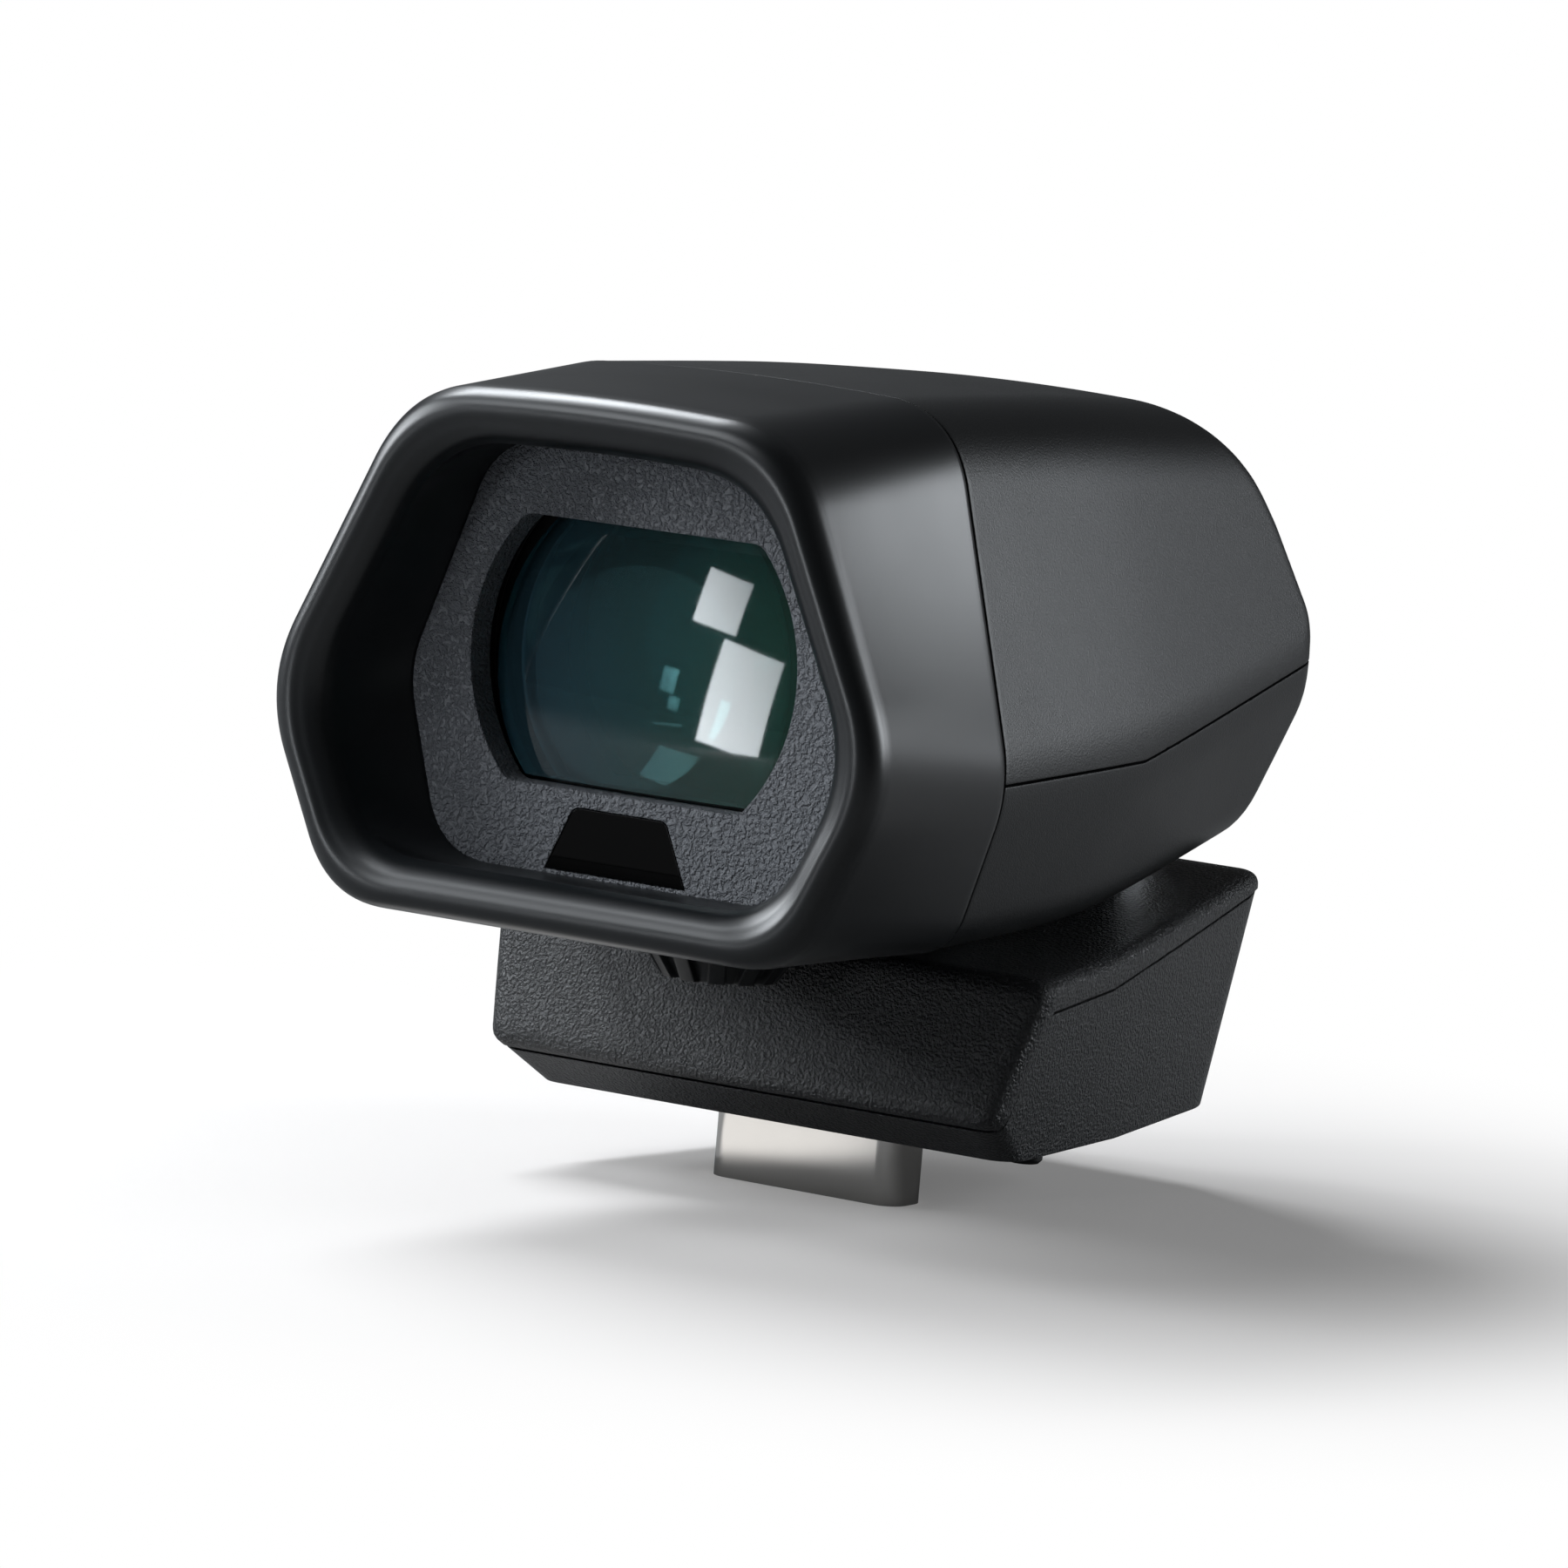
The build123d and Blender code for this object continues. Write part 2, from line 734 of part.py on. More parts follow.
with BuildPart() as optics_chassis:
    extrude(head_outline(chassis_front_back, collar_inset), amount=chassis_plate)
    extrude(
        flat_sided(
            chassis_front_back,
            carriage_radius + carriage_clearance,
            carriage_half_height + carriage_clearance,
        ),
        amount=chassis_plate,
        mode=Mode.SUBTRACT,
    )
    with BuildSketch(across(chassis_front_back)):
        with Locations(*clamp_places):
            Circle(clamp_screw_radius + seat_clearance)
        notch_middle = (front_floor + axis_height - carriage_half_height) / 2
        with Locations(((notch_left + notch_right) / 2, notch_middle)):
            Rectangle(notch_right - notch_left, axis_height - carriage_half_height - front_floor)
        with Locations((sensor_lead_x, sensor_lead_height)):
            Rectangle(sensor_lead_width + lead_slot, lead_slot)
    extrude(amount=chassis_plate, mode=Mode.SUBTRACT)
    with BuildSketch(across(chassis_back)):
        add(head_outline(chassis_back, chassis_back_inset))
        with Locations((0, axis_height)):
            Rectangle(2 * chassis_back_half, 2 * chassis_back_half_height, mode=Mode.INTERSECT)
            Rectangle(2 * display_window_half, 2 * display_window_half_height, mode=Mode.SUBTRACT)
        with Locations(*display_screw_places):
            Circle(small_screw_radius, mode=Mode.SUBTRACT)
    extrude(amount=chassis_plate)
    with BuildSketch(across(chassis_back_front)):
        for side in (-1, 1):
            for lift in (-rail_lift, rail_lift):
                with Locations((side * rail_x, axis_height + lift)):
                    Rectangle(rail_width, rail_height)
    extrude(amount=chassis_back_front - chassis_front_back)
    with BuildSketch(across(chassis_back)):
        with Locations(*rod_places):
            Circle(rod_radius)
    extrude(amount=chassis_back - chassis_front, mode=Mode.SUBTRACT)
optics_chassis.part.label = "optics_chassis"
export_step(optics_chassis.part, "parts/optics_chassis.step")

with BuildPart() as guide_rods:
    with BuildSketch(across(chassis_back)):
        with Locations(*rod_places):
            Circle(rod_radius)
    extrude(amount=chassis_back - chassis_front)
guide_rods.part.label = "guide_rods"
export_step(guide_rods.part, "parts/guide_rods.step")

# Lens carriage: slides on the rods and holds four lenses
carriage_front = -29.8
carriage_back = -3.0
lug_front = -15.0
lug_back = -5.0
lug_radius = 2.6
bushing_radius = 1.9
eye_rim_radius = 15.3
eye_clear_radius = 14.4
eye_half_height = 10.9
eye_bore_half_height = 11.9
eye_rim_front = -28.6
eye_rim_back = -25.4
eye_back_sag = 3.8
eye_face_radius = 14.85
eye_face_half_height = 10.25
eye_apex = -32.7
eye_apex_height = 30.2
eye_front_bend = 85.0
eye_ring_radius = 15.9
eye_ring_clearance = 0.05
middle_bore_back = -20.6
rear_rim_radius = 12.6
rear_clear_radius = 11.6
rear_half_height = 9.4
rear_bore_half_height = 10.3
crown_rim_front = -17.0
crown_rim_back = -15.5
crown_front_sag = 3.2
cement_sag = 4.0
flint_rim_back = -11.0
flint_back_sag = 1.3
field_rim_front = -7.4
field_rim_back = -5.4
field_front_sag = 1.2
field_back_sag = 0.6
rear_ring_depth = 1.2


def bulge_point(rim, sag, radius):
    """Half-way point of a lens face: its radius and how far it stands out from the clear edge."""
    sphere = (radius**2 + sag**2) / (2 * sag)
    middle = radius / 2
    depth = sphere - copysign(sqrt(sphere**2 - middle**2), sphere)
    return middle, rim + sag - depth


def lens(rim_front, rim_back, sags, clear_radius, rim_radius, half_height):
    """Round lens with a flat rim, cut flat above and below; sags are the rises of its two faces."""
    front_sag, back_sag = sags
    front_x, front_rise = bulge_point(0, front_sag, clear_radius)
    back_x, back_rise = bulge_point(0, back_sag, clear_radius)
    with BuildPart() as element:
        with BuildSketch(Plane.XY.offset(axis_height)):
            with BuildLine():
                Line((0, rim_front - front_sag), (0, rim_back + back_sag))
                ThreePointArc(
                    (0, rim_back + back_sag), (back_x, rim_back + back_rise), (clear_radius, rim_back)
                )
                Polyline(
                    (clear_radius, rim_back),
                    (rim_radius, rim_back),
                    (rim_radius, rim_front),
                    (clear_radius, rim_front),
                )
                ThreePointArc(
                    (clear_radius, rim_front), (front_x, rim_front - front_rise), (0, rim_front - front_sag)
                )
            make_face()
        revolve(axis=optical_axis)
        with Locations((0, 0, axis_height)):
            Box(2 * rim_radius, overrun + overrun, 2 * half_height, mode=Mode.INTERSECT)
    return element.part


with BuildPart() as lens_carriage:
    extrude(
        flat_sided(carriage_back, carriage_radius, carriage_half_height),
        amount=carriage_back - carriage_front,
    )
    with BuildSketch(across(lug_back)):
        with Locations(*rod_places):
            Circle(lug_radius)
        with Locations((0, axis_height)):
            Rectangle(2 * rod_x, 2 * lug_radius)
    extrude(amount=lug_back - lug_front)
    # Tongue under the barrel for the crank pin
    with BuildSketch(Plane.XY.offset(tongue_bottom)):
        with Locations((tongue_x, knob_y)):
            Rectangle(2 * tongue_half, 2 * tongue_half_depth)
    extrude(amount=axis_height - carriage_half_height + crank_disc - tongue_bottom)
    # Seats, from the eye inwards
    extrude(
        flat_sided(eye_rim_back, eye_rim_radius + seat_clearance, eye_bore_half_height),
        amount=eye_rim_back - carriage_front,
        mode=Mode.SUBTRACT,
    )
    extrude(
        flat_sided(eye_rim_front, eye_ring_radius + seat_clearance, eye_bore_half_height),
        amount=eye_rim_front - carriage_front,
        mode=Mode.SUBTRACT,
    )
    extrude(
        flat_sided(middle_bore_back, eye_clear_radius, eye_half_height + seat_clearance),
        amount=middle_bore_back - eye_rim_back,
        mode=Mode.SUBTRACT,
    )
    extrude(
        flat_sided(crown_rim_front, rear_clear_radius, rear_half_height + seat_clearance),
        amount=crown_rim_front - middle_bore_back,
        mode=Mode.SUBTRACT,
    )
    extrude(
        flat_sided(carriage_back, rear_rim_radius + seat_clearance, rear_bore_half_height),
        amount=carriage_back - crown_rim_front,
        mode=Mode.SUBTRACT,
    )
    with BuildSketch(across(lug_back)):
        with Locations(*rod_places):
            Circle(bushing_radius)
    extrude(amount=lug_back - lug_front, mode=Mode.SUBTRACT)
    with BuildSketch(Plane.XY.offset(tongue_bottom)):
        with Locations((tongue_x, knob_y)):
            Rectangle(2 * tongue_half - tongue_wall, 2 * (crank_pin_radius + crank_clearance))
    extrude(amount=crank_pin_length, mode=Mode.SUBTRACT)
lens_carriage.part.label = "lens_carriage"
export_step(lens_carriage.part, "parts/lens_carriage.step")

with BuildPart() as rod_bushings:
    with BuildSketch(across(lug_back)):
        with Locations(*rod_places):
            Circle(bushing_radius)
            Circle(rod_radius + running_clearance, mode=Mode.SUBTRACT)
    extrude(amount=lug_back - lug_front)
rod_bushings.part.label = "rod_bushings"
export_step(rod_bushings.part, "parts/rod_bushings.step")

# Eye lens: its front face stands forward through the ring and is aimed slightly downwards
with BuildPart() as eye_lens_front:
    extrude(
        flat_sided(eye_rim_front, eye_face_radius, eye_face_half_height),
        amount=eye_rim_front - eye_apex,
    )
    with Locations((0, eye_apex + eye_front_bend, eye_apex_height)):
        Sphere(eye_front_bend, mode=Mode.INTERSECT)

with BuildPart() as eye_lens_back:
    extrude(
        flat_sided(eye_rim_back + eye_back_sag, eye_clear_radius, eye_half_height),
        amount=eye_rim_back + eye_back_sag - eye_rim_front,
    )
    eye_back_bend = (eye_clear_radius**2 + eye_back_sag**2) / (2 * eye_back_sag)
    with Locations((0, eye_rim_back + eye_back_sag - eye_back_bend, axis_height)):
        Sphere(eye_back_bend, mode=Mode.INTERSECT)

with BuildPart() as eye_lens:
    extrude(
        flat_sided(eye_rim_back, eye_rim_radius, eye_half_height),
        amount=eye_rim_back - eye_rim_front,
    )
    add(eye_lens_back.part)
    add(eye_lens_front.part)
eye_lens.part.label = "eye_lens"
export_step(eye_lens.part, "parts/eye_lens.step")

rear_lens_sizes = (rear_clear_radius, rear_rim_radius, rear_half_height)
with BuildPart() as crown_lens:
    add(lens(crown_rim_front, crown_rim_back, (crown_front_sag, cement_sag), *rear_lens_sizes))
crown_lens.part.label = "crown_lens"
export_step(crown_lens.part, "parts/crown_lens.step")

with BuildPart() as flint_lens:
    add(lens(crown_rim_back, flint_rim_back, (-cement_sag, flint_back_sag), *rear_lens_sizes))
flint_lens.part.label = "flint_lens"
export_step(flint_lens.part, "parts/flint_lens.step")

with BuildPart() as field_lens:
    add(lens(field_rim_front, field_rim_back, (field_front_sag, field_back_sag), *rear_lens_sizes))
field_lens.part.label = "field_lens"
export_step(field_lens.part, "parts/field_lens.step")

with BuildPart() as eye_lens_ring:
    extrude(
        flat_sided(eye_rim_front, eye_ring_radius, eye_bore_half_height),
        amount=eye_rim_front - carriage_front,
    )
    extrude(
        flat_sided(
            eye_rim_front,
            eye_face_radius + eye_ring_clearance,
            eye_face_half_height + eye_ring_clearance,
        ),
        amount=eye_rim_front - carriage_front,
        mode=Mode.SUBTRACT,
    )
eye_lens_ring.part.label = "eye_lens_ring"
export_step(eye_lens_ring.part, "parts/eye_lens_ring.step")


def rear_ring(front, back):
    """Ring in the rear bore of the carriage, between front and back."""
    with BuildPart() as ring:
        extrude(flat_sided(back, rear_rim_radius, rear_bore_half_height), amount=back - front)
        extrude(
            flat_sided(back, rear_clear_radius, rear_half_height + seat_clearance),
            amount=back - front,
            mode=Mode.SUBTRACT,
        )
    return ring.part


with BuildPart() as lens_spacer:
    add(rear_ring(flint_rim_back, field_rim_front))
lens_spacer.part.label = "lens_spacer"
export_step(lens_spacer.part, "parts/lens_spacer.step")

with BuildPart() as rear_lens_ring:
    add(rear_ring(field_rim_back, field_rim_back + rear_ring_depth))
rear_lens_ring.part.label = "rear_lens_ring"
export_step(rear_lens_ring.part, "parts/rear_lens_ring.step")

# Dioptre knob, its crank and the bush in the floor
rib_count = 12
half_turn = 180
rib_width = 1.35
knob_core_inset = 0.8
knob_bore_depth = 3.0
knob_screw_head_radius = 1.4
knob_screw_head = 0.7
knob_screw_radius = 0.7
knob_screw_length = 3.0
knob_height = knob_top - knob_bottom
shaft_flat = 1.1

with BuildPart() as knob_ribs:
    with Locations((0, knob_y, knob_bottom)):
        Cone(knob_bottom_radius, knob_top_radius, knob_height, align=(Align.CENTER, Align.CENTER, Align.MIN))
    with BuildSketch(Plane.XY.offset(knob_bottom)):
        with Locations((0, knob_y)):
            with PolarLocations(0, rib_count // 2, angular_range=half_turn, endpoint=False):
                Rectangle(overrun, rib_width)
    extrude(amount=knob_height, mode=Mode.INTERSECT)

with BuildPart() as diopter_knob:
    with Locations((0, knob_y, knob_bottom)):
        Cone(
            knob_bottom_radius - knob_core_inset,
            knob_top_radius - knob_core_inset,
            knob_height,
            align=(Align.CENTER, Align.CENTER, Align.MIN),
        )
    add(knob_ribs.part)
    with BuildSketch(Plane.XY.offset(knob_top)):
        with Locations((0, knob_y)):
            Circle(knob_shaft_radius)
            with Locations((knob_shaft_radius + shaft_flat, 0)):
                Rectangle(2 * knob_shaft_radius, 2 * knob_shaft_radius, mode=Mode.SUBTRACT)
    extrude(amount=-knob_bore_depth, mode=Mode.SUBTRACT)
    with BuildSketch(Plane.XY.offset(knob_bottom)):
        with Locations((0, knob_y)):
            Circle(knob_screw_head_radius + seat_clearance)
    extrude(amount=knob_height - knob_bore_depth, mode=Mode.SUBTRACT)
diopter_knob.part.label = "diopter_knob"
export_step(diopter_knob.part, "parts/diopter_knob.step")

with BuildPart() as knob_crank:
    with BuildSketch(Plane.XY.offset(knob_top - knob_bore_depth)):
        with Locations((0, knob_y)):
            Circle(knob_shaft_radius)
            with Locations((knob_shaft_radius + shaft_flat, 0)):
                Rectangle(2 * knob_shaft_radius, 2 * knob_shaft_radius, mode=Mode.SUBTRACT)
    extrude(amount=knob_bore_depth)
    with BuildSketch(Plane.XY.offset(knob_top)):
        with Locations((0, knob_y)):
            Circle(knob_shaft_radius)
    extrude(amount=crank_disc_bottom - knob_top)
    with BuildSketch(Plane.XY.offset(crank_disc_bottom)):
        with Locations((0, knob_y)):
            Circle(crank_disc_radius)
    extrude(amount=crank_disc)
    with BuildSketch(Plane.XY.offset(crank_disc_top)):
        with Locations((crank_throw, knob_y)):
            Circle(crank_pin_radius)
    extrude(amount=crank_pin_length)
    with BuildSketch(Plane.XY.offset(knob_top - knob_bore_depth)):
        with Locations((0, knob_y)):
            Circle(knob_screw_radius)
    extrude(amount=knob_screw_length, mode=Mode.SUBTRACT)
knob_crank.part.label = "knob_crank"
export_step(knob_crank.part, "parts/knob_crank.step")

with BuildPart() as knob_screw:
    add(
        upright_screw(
            0,
            knob_y,
            knob_top - knob_bore_depth - knob_screw_head,
            knob_screw_head,
            knob_screw_head_radius,
            knob_screw_length,
            knob_screw_radius,
        )
    )
knob_screw.part.label = "knob_screw"
export_step(knob_screw.part, "parts/knob_screw.step")

washer_inner = bush_radius + seat_clearance
washer_outer = 3.1
washer_gap = 0.1
floor_outside = floor_inside(knob_y - washer_outer) - head_wall

with BuildPart() as knob_bush:
    bush_places = (
        (bush_seat - head_wall - bush_drop, bush_radius, head_wall + bush_drop),
        (bush_seat, bush_flange_radius, bush_flange),
    )
    for bottom, radius, height in bush_places:
        with BuildSketch(Plane.XY.offset(bottom)):
            with Locations((0, knob_y)):
                Circle(radius)
                Circle(knob_shaft_radius + running_clearance, mode=Mode.SUBTRACT)
        extrude(amount=height)
knob_bush.part.label = "knob_bush"
export_step(knob_bush.part, "parts/knob_bush.step")

with BuildPart() as knob_wave_washer:
    with BuildSketch(Plane.XY.offset(knob_top + washer_gap)):
        with Locations((0, knob_y)):
            Circle(washer_outer)
            Circle(washer_inner, mode=Mode.SUBTRACT)
    extrude(amount=floor_outside - knob_top - washer_gap)
knob_wave_washer.part.label = "knob_wave_washer"
export_step(knob_wave_washer.part, "parts/knob_wave_washer.step")

# Display behind the rear plate of the chassis
display_half = 6.3
display_half_height = 5.1
display_glass_depth = 0.7
display_panel_depth = 1.4
display_holder_half = 11.0
display_holder_half_height = 9.0
display_board_depth = 0.8
display_head_radius = 1.1
display_head = 0.7
display_screw_bite = 1.2
display_holder_depth = display_glass_depth + display_panel_depth
display_board_front = chassis_back + display_holder_depth
display_board_back = display_board_front + display_board_depth


def display_slab(back, depth, half, half_height):
    """Rectangular plate across the optical axis, from back - depth to back."""
    with BuildPart() as slab:
        with BuildSketch(across(back)):
            with Locations((0, axis_height)):
                Rectangle(2 * half, 2 * half_height)
        extrude(amount=depth)
    return slab.part


with BuildPart() as display_glass:
    display_glass_back = chassis_back + display_glass_depth
    add(display_slab(display_glass_back, display_glass_depth, display_half, display_half_height))
display_glass.part.label = "display_glass"
export_step(display_glass.part, "parts/display_glass.step")

with BuildPart() as display_panel:
    add(display_slab(display_board_front, display_panel_depth, display_half, display_half_height))
display_panel.part.label = "display_panel"
export_step(display_panel.part, "parts/display_panel.step")

with BuildPart() as display_holder:
    add(
        display_slab(
            display_board_front,
            display_holder_depth,
            display_holder_half,
            display_holder_half_height,
        )
    )
    with BuildSketch(across(display_board_front)):
        with Locations((0, axis_height)):
            Rectangle(2 * (display_half + seat_clearance), 2 * (display_half_height + seat_clearance))
        with Locations(*display_screw_places):
            Circle(small_screw_radius + seat_clearance)
    extrude(amount=display_holder_depth, mode=Mode.SUBTRACT)
display_holder.part.label = "display_holder"
export_step(display_holder.part, "parts/display_holder.step")

with BuildPart() as display_board:
    add(
        display_slab(
            display_board_back,
            display_board_depth,
            display_holder_half,
            display_holder_half_height,
        )
    )
    with BuildSketch(across(display_board_back)):
        with Locations(*display_screw_places):
            Circle(small_screw_radius + seat_clearance)
    extrude(amount=display_board_depth, mode=Mode.SUBTRACT)
display_board.part.label = "display_board"
export_step(display_board.part, "parts/display_board.step")

display_screw_length = display_board_depth + display_holder_depth + display_screw_bite
display_screws = [
    lying_screw(
        x, z, -display_board_back, display_head, display_head_radius, display_screw_length, small_screw_radius
    ).mirror(Plane.XZ)
    for x, z in display_screw_places
]
with BuildPart() as display_screw_set:
    add(display_screws)
display_screw_set.part.label = "display_screws"
export_step(display_screw_set.part, "parts/display_screws.step")

# Driver electronics over the floor of the head
driver_board_half = 12.0
driver_board_start = 8.0
driver_board_end = 28.5
driver_board_thickness = 1.0
driver_head_radius = 1.2
driver_head = 0.7
connector_half = 4.0
connector_depth = 3.0
connector_height = 1.2
connector_front_y = 10.5
connector_rear_y = 25.5
processor_size = 9.0
processor_height = 1.0
processor_y = 20.5
shield_half = 7.5
shield_half_depth = 5.5
shield_height = 1.8
shield_wall = 0.25
head_lead_width = 7.0
lead_bend = 1.0
driver_board_top = driver_board_bottom + driver_board_thickness
driver_board_middle = (driver_board_start + driver_board_end) / 2
board_posts = [(side * board_post_x, post_y) for side in (-1, 1) for post_y in board_post_ys]


def slab_on(bottom, x, y, half, half_depth, height):
    """Level rectangular block that stands on bottom with its middle at x and y."""
    with BuildPart() as slab:
        with Locations((x, y, bottom)):
            Box(2 * half, 2 * half_depth, height, align=(Align.CENTER, Align.CENTER, Align.MIN))
    return slab.part


def driven_down(x, y, seat, head_height, head_radius, length, radius):
    """Screw driven downwards, with its head standing on seat."""
    return upright_screw(x, y, -seat - head_height, head_height, head_radius, length, radius).mirror(Plane.XY)


with BuildPart() as driver_board:
    board_half_depth = (driver_board_end - driver_board_start) / 2
    add(
        slab_on(
            driver_board_bottom,
            0,
            driver_board_middle,
            driver_board_half,
            board_half_depth,
            driver_board_thickness,
        )
    )
    with BuildSketch(Plane.XY.offset(driver_board_bottom)):
        with Locations(*board_posts):
            Circle(small_screw_radius + seat_clearance)
    extrude(amount=driver_board_thickness, mode=Mode.SUBTRACT)
driver_board.part.label = "driver_board"
export_step(driver_board.part, "parts/driver_board.step")

driver_screw_length = driver_board_thickness + small_screw_bite - seat_clearance
driver_screws = [
    driven_down(
        x,
        y,
        driver_board_top,
        driver_head,
        driver_head_radius,
        driver_screw_length,
        small_screw_radius,
    )
    for x, y in board_posts
]
with BuildPart() as driver_screw_set:
    add(driver_screws)
driver_screw_set.part.label = "driver_screws"
export_step(driver_screw_set.part, "parts/driver_screws.step")

with BuildPart() as video_processor:
    add(slab_on(driver_board_top, 0, processor_y, processor_size / 2, processor_size / 2, processor_height))
video_processor.part.label = "video_processor"
export_step(video_processor.part, "parts/video_processor.step")

with BuildPart() as shield_can:
    add(slab_on(driver_board_top, 0, processor_y, shield_half, shield_half_depth, shield_height))
    with Locations((0, processor_y, driver_board_top)):
        Box(
            2 * (shield_half - shield_wall),
            2 * (shield_half_depth - shield_wall),
            shield_height - shield_wall,
            align=(Align.CENTER, Align.CENTER, Align.MIN),
            mode=Mode.SUBTRACT,
        )
shield_can.part.label = "shield_can"
export_step(shield_can.part, "parts/shield_can.step")

driver_connectors = [
    slab_on(driver_board_top, 0, connector_front_y, connector_half, connector_depth / 2, connector_height),
    slab_on(
        driver_board_bottom - connector_height,
        0,
        connector_rear_y,
        connector_half,
        connector_depth / 2,
        connector_height,
    ),
]
with BuildPart() as driver_connector_set:
    add(driver_connectors)
driver_connector_set.part.label = "driver_connectors"
export_step(driver_connector_set.part, "parts/driver_connectors.step")

with BuildPart() as display_flex:
    display_flex_y = display_board_back + lead_thickness / 2
    display_flex_z = driver_board_top + connector_height + lead_thickness / 2
    display_flex_route = [
        (display_flex_y, axis_height),
        (display_flex_y, display_flex_z),
        (connector_front_y + connector_depth / 2, display_flex_z),
    ]
    add(ribbon(display_flex_route, lead_bend, head_lead_width, lead_thickness))
display_flex.part.label = "display_flex"
export_step(display_flex.part, "parts/display_flex.step")

sensor_flex_end_y = 9.5
with BuildPart() as sensor_flex:
    sensor_flex_y = plate_back + sensor_board_depth + lead_thickness / 2
    sensor_flex_route = [
        (sensor_flex_y, sensor_board_middle),
        (sensor_flex_y, sensor_lead_height),
        (sensor_flex_end_y, sensor_lead_height),
        (sensor_flex_end_y, driver_board_bottom),
    ]
    add(ribbon(sensor_flex_route, lead_bend, sensor_lead_width, lead_thickness, sensor_lead_x))
sensor_flex.part.label = "sensor_flex"
export_step(sensor_flex.part, "parts/sensor_flex.step")

housing_screw_length = long_post_top + housing_screw_bite - seat_clearance - housing_head_seat
housing_screws = [
    upright_screw(
        side * long_boss_x,
        long_boss_y,
        housing_head_seat - housing_head_height,
        housing_head_height,
        housing_head_radius,
        housing_screw_length,
        housing_screw_radius,
    )
    for side in (-1, 1)
]
with BuildPart() as housing_screw_set:
    add(housing_screws)
housing_screw_set.part.label = "housing_screws"
export_step(housing_screw_set.part, "parts/housing_screws.step")

# Hinge knuckle: barrel on the axis, two arms into the head and a foot screwed to its floor
knuckle_hollow_radius = 2.5
base_lead_gap_start = 245.0
base_lead_gap_end = 325.0
head_lead_gap_start = 104.0
head_lead_gap_end = 150.0
head_lead_radius = 1.75
head_lead_start = 20.0
head_lead_end = 110.0
head_lead_out_y = 27.9
head_lead_out = 25.0
foot_holes = [(side * foot_screw_x, screw_y) for side in (-1, 1) for screw_y in foot_screw_ys]
foot_bottom = [(foot_start_y, floor_inside(foot_start_y)), (arm_top_y, floor_inside(arm_top_y))]
foot_top = [(y, z + foot_thickness) for y, z in reversed(foot_bottom)]


def about_hinge(radius, angle):
    """Point round the hinge axis, in the side view, with its angle in degrees from +Y towards +Z."""
    return hinge_y + radius * cos(radians(angle)), hinge_height + radius * sin(radians(angle))


def hinge_sector(start, end, radius):
    """Points of a wedge of the hinge barrel that opens from start to end."""
    middle = (start + end) / 2
    arc = [about_hinge(radius, start), about_hinge(radius, middle), about_hinge(radius, end)]
    return [(hinge_y, hinge_height)] + arc


def foot_screw_seat(y):
    """Height where the head of a foot screw stands in its spot face."""
    return floor_inside(y - foot_screw_head_radius) + foot_thickness


with BuildPart() as hinge_knuckle:
    with BuildSketch(hinge_axis_plane):
        Circle(knuckle_radius)
    extrude(amount=knuckle_half, both=True)
    with BuildSketch(Plane.YZ):
        with BuildLine():
            Line((hinge_y, hinge_height), (arm_top_y, arm_top))
        trace(line_width=arm_thickness)
    extrude(amount=knuckle_half, both=True)
    with BuildSketch(Plane.YZ):
        with BuildLine():
            Polyline(about_hinge(knuckle_radius, head_lead_gap_start), (arm_top_y, arm_top + arm_thickness))
            Polyline(
                (arm_top_y, arm_top + arm_thickness),
                (arm_top_y - arm_thickness, arm_top),
                about_hinge(knuckle_radius, head_lead_gap_end),
                about_hinge(knuckle_radius, head_lead_gap_start),
            )
        make_face()
    extrude(amount=knuckle_inner_half, both=True, mode=Mode.SUBTRACT)
    with BuildSketch(Plane.YZ):
        with BuildLine():
            Polyline(*foot_bottom, *foot_top, close=True)
        make_face()
    extrude(amount=foot_half, both=True)
    with BuildSketch(hinge_axis_plane):
        Circle(pin_diameter / 2 + running_clearance)
    extrude(amount=knuckle_half, both=True, mode=Mode.SUBTRACT)
    with BuildSketch(hinge_axis_plane):
        Circle(knuckle_hollow_radius)
    extrude(amount=knuckle_inner_half, both=True, mode=Mode.SUBTRACT)
    for start, end in ((base_lead_gap_start, base_lead_gap_end), (head_lead_gap_start, head_lead_gap_end)):
        with BuildSketch(Plane.YZ):
            with BuildLine():
                Polyline(*hinge_sector(start, end, 2 * knuckle_radius), close=True)
            make_face()
            with Locations((hinge_y, hinge_height)):
                Circle(knuckle_radius + running_clearance, mode=Mode.INTERSECT)
        extrude(amount=knuckle_inner_half, both=True, mode=Mode.SUBTRACT)
    for x, screw_y in foot_holes:
        with Locations((x, screw_y, foot_screw_seat(screw_y))):
            Cylinder(
                foot_screw_radius + seat_clearance,
                2 * foot_thickness + foot_screw_bite,
                mode=Mode.SUBTRACT,
            )
            Cylinder(
                foot_screw_head_radius + seat_clearance,
                foot_thickness,
                align=(Align.CENTER, Align.CENTER, Align.MIN),
                mode=Mode.SUBTRACT,
            )
hinge_knuckle.part.label = "hinge_knuckle"
export_step(hinge_knuckle.part, "parts/hinge_knuckle.step")

knuckle_screws = [
    driven_down(
        x,
        screw_y,
        foot_screw_seat(screw_y),
        foot_screw_head,
        foot_screw_head_radius,
        foot_screw_seat(screw_y) - floor_inside(screw_y) + foot_screw_bite,
        foot_screw_radius,
    )
    for x, screw_y in foot_holes
]
with BuildPart() as knuckle_screw_set:
    add(knuckle_screws)
knuckle_screw_set.part.label = "knuckle_screws"
export_step(knuckle_screw_set.part, "parts/knuckle_screws.step")

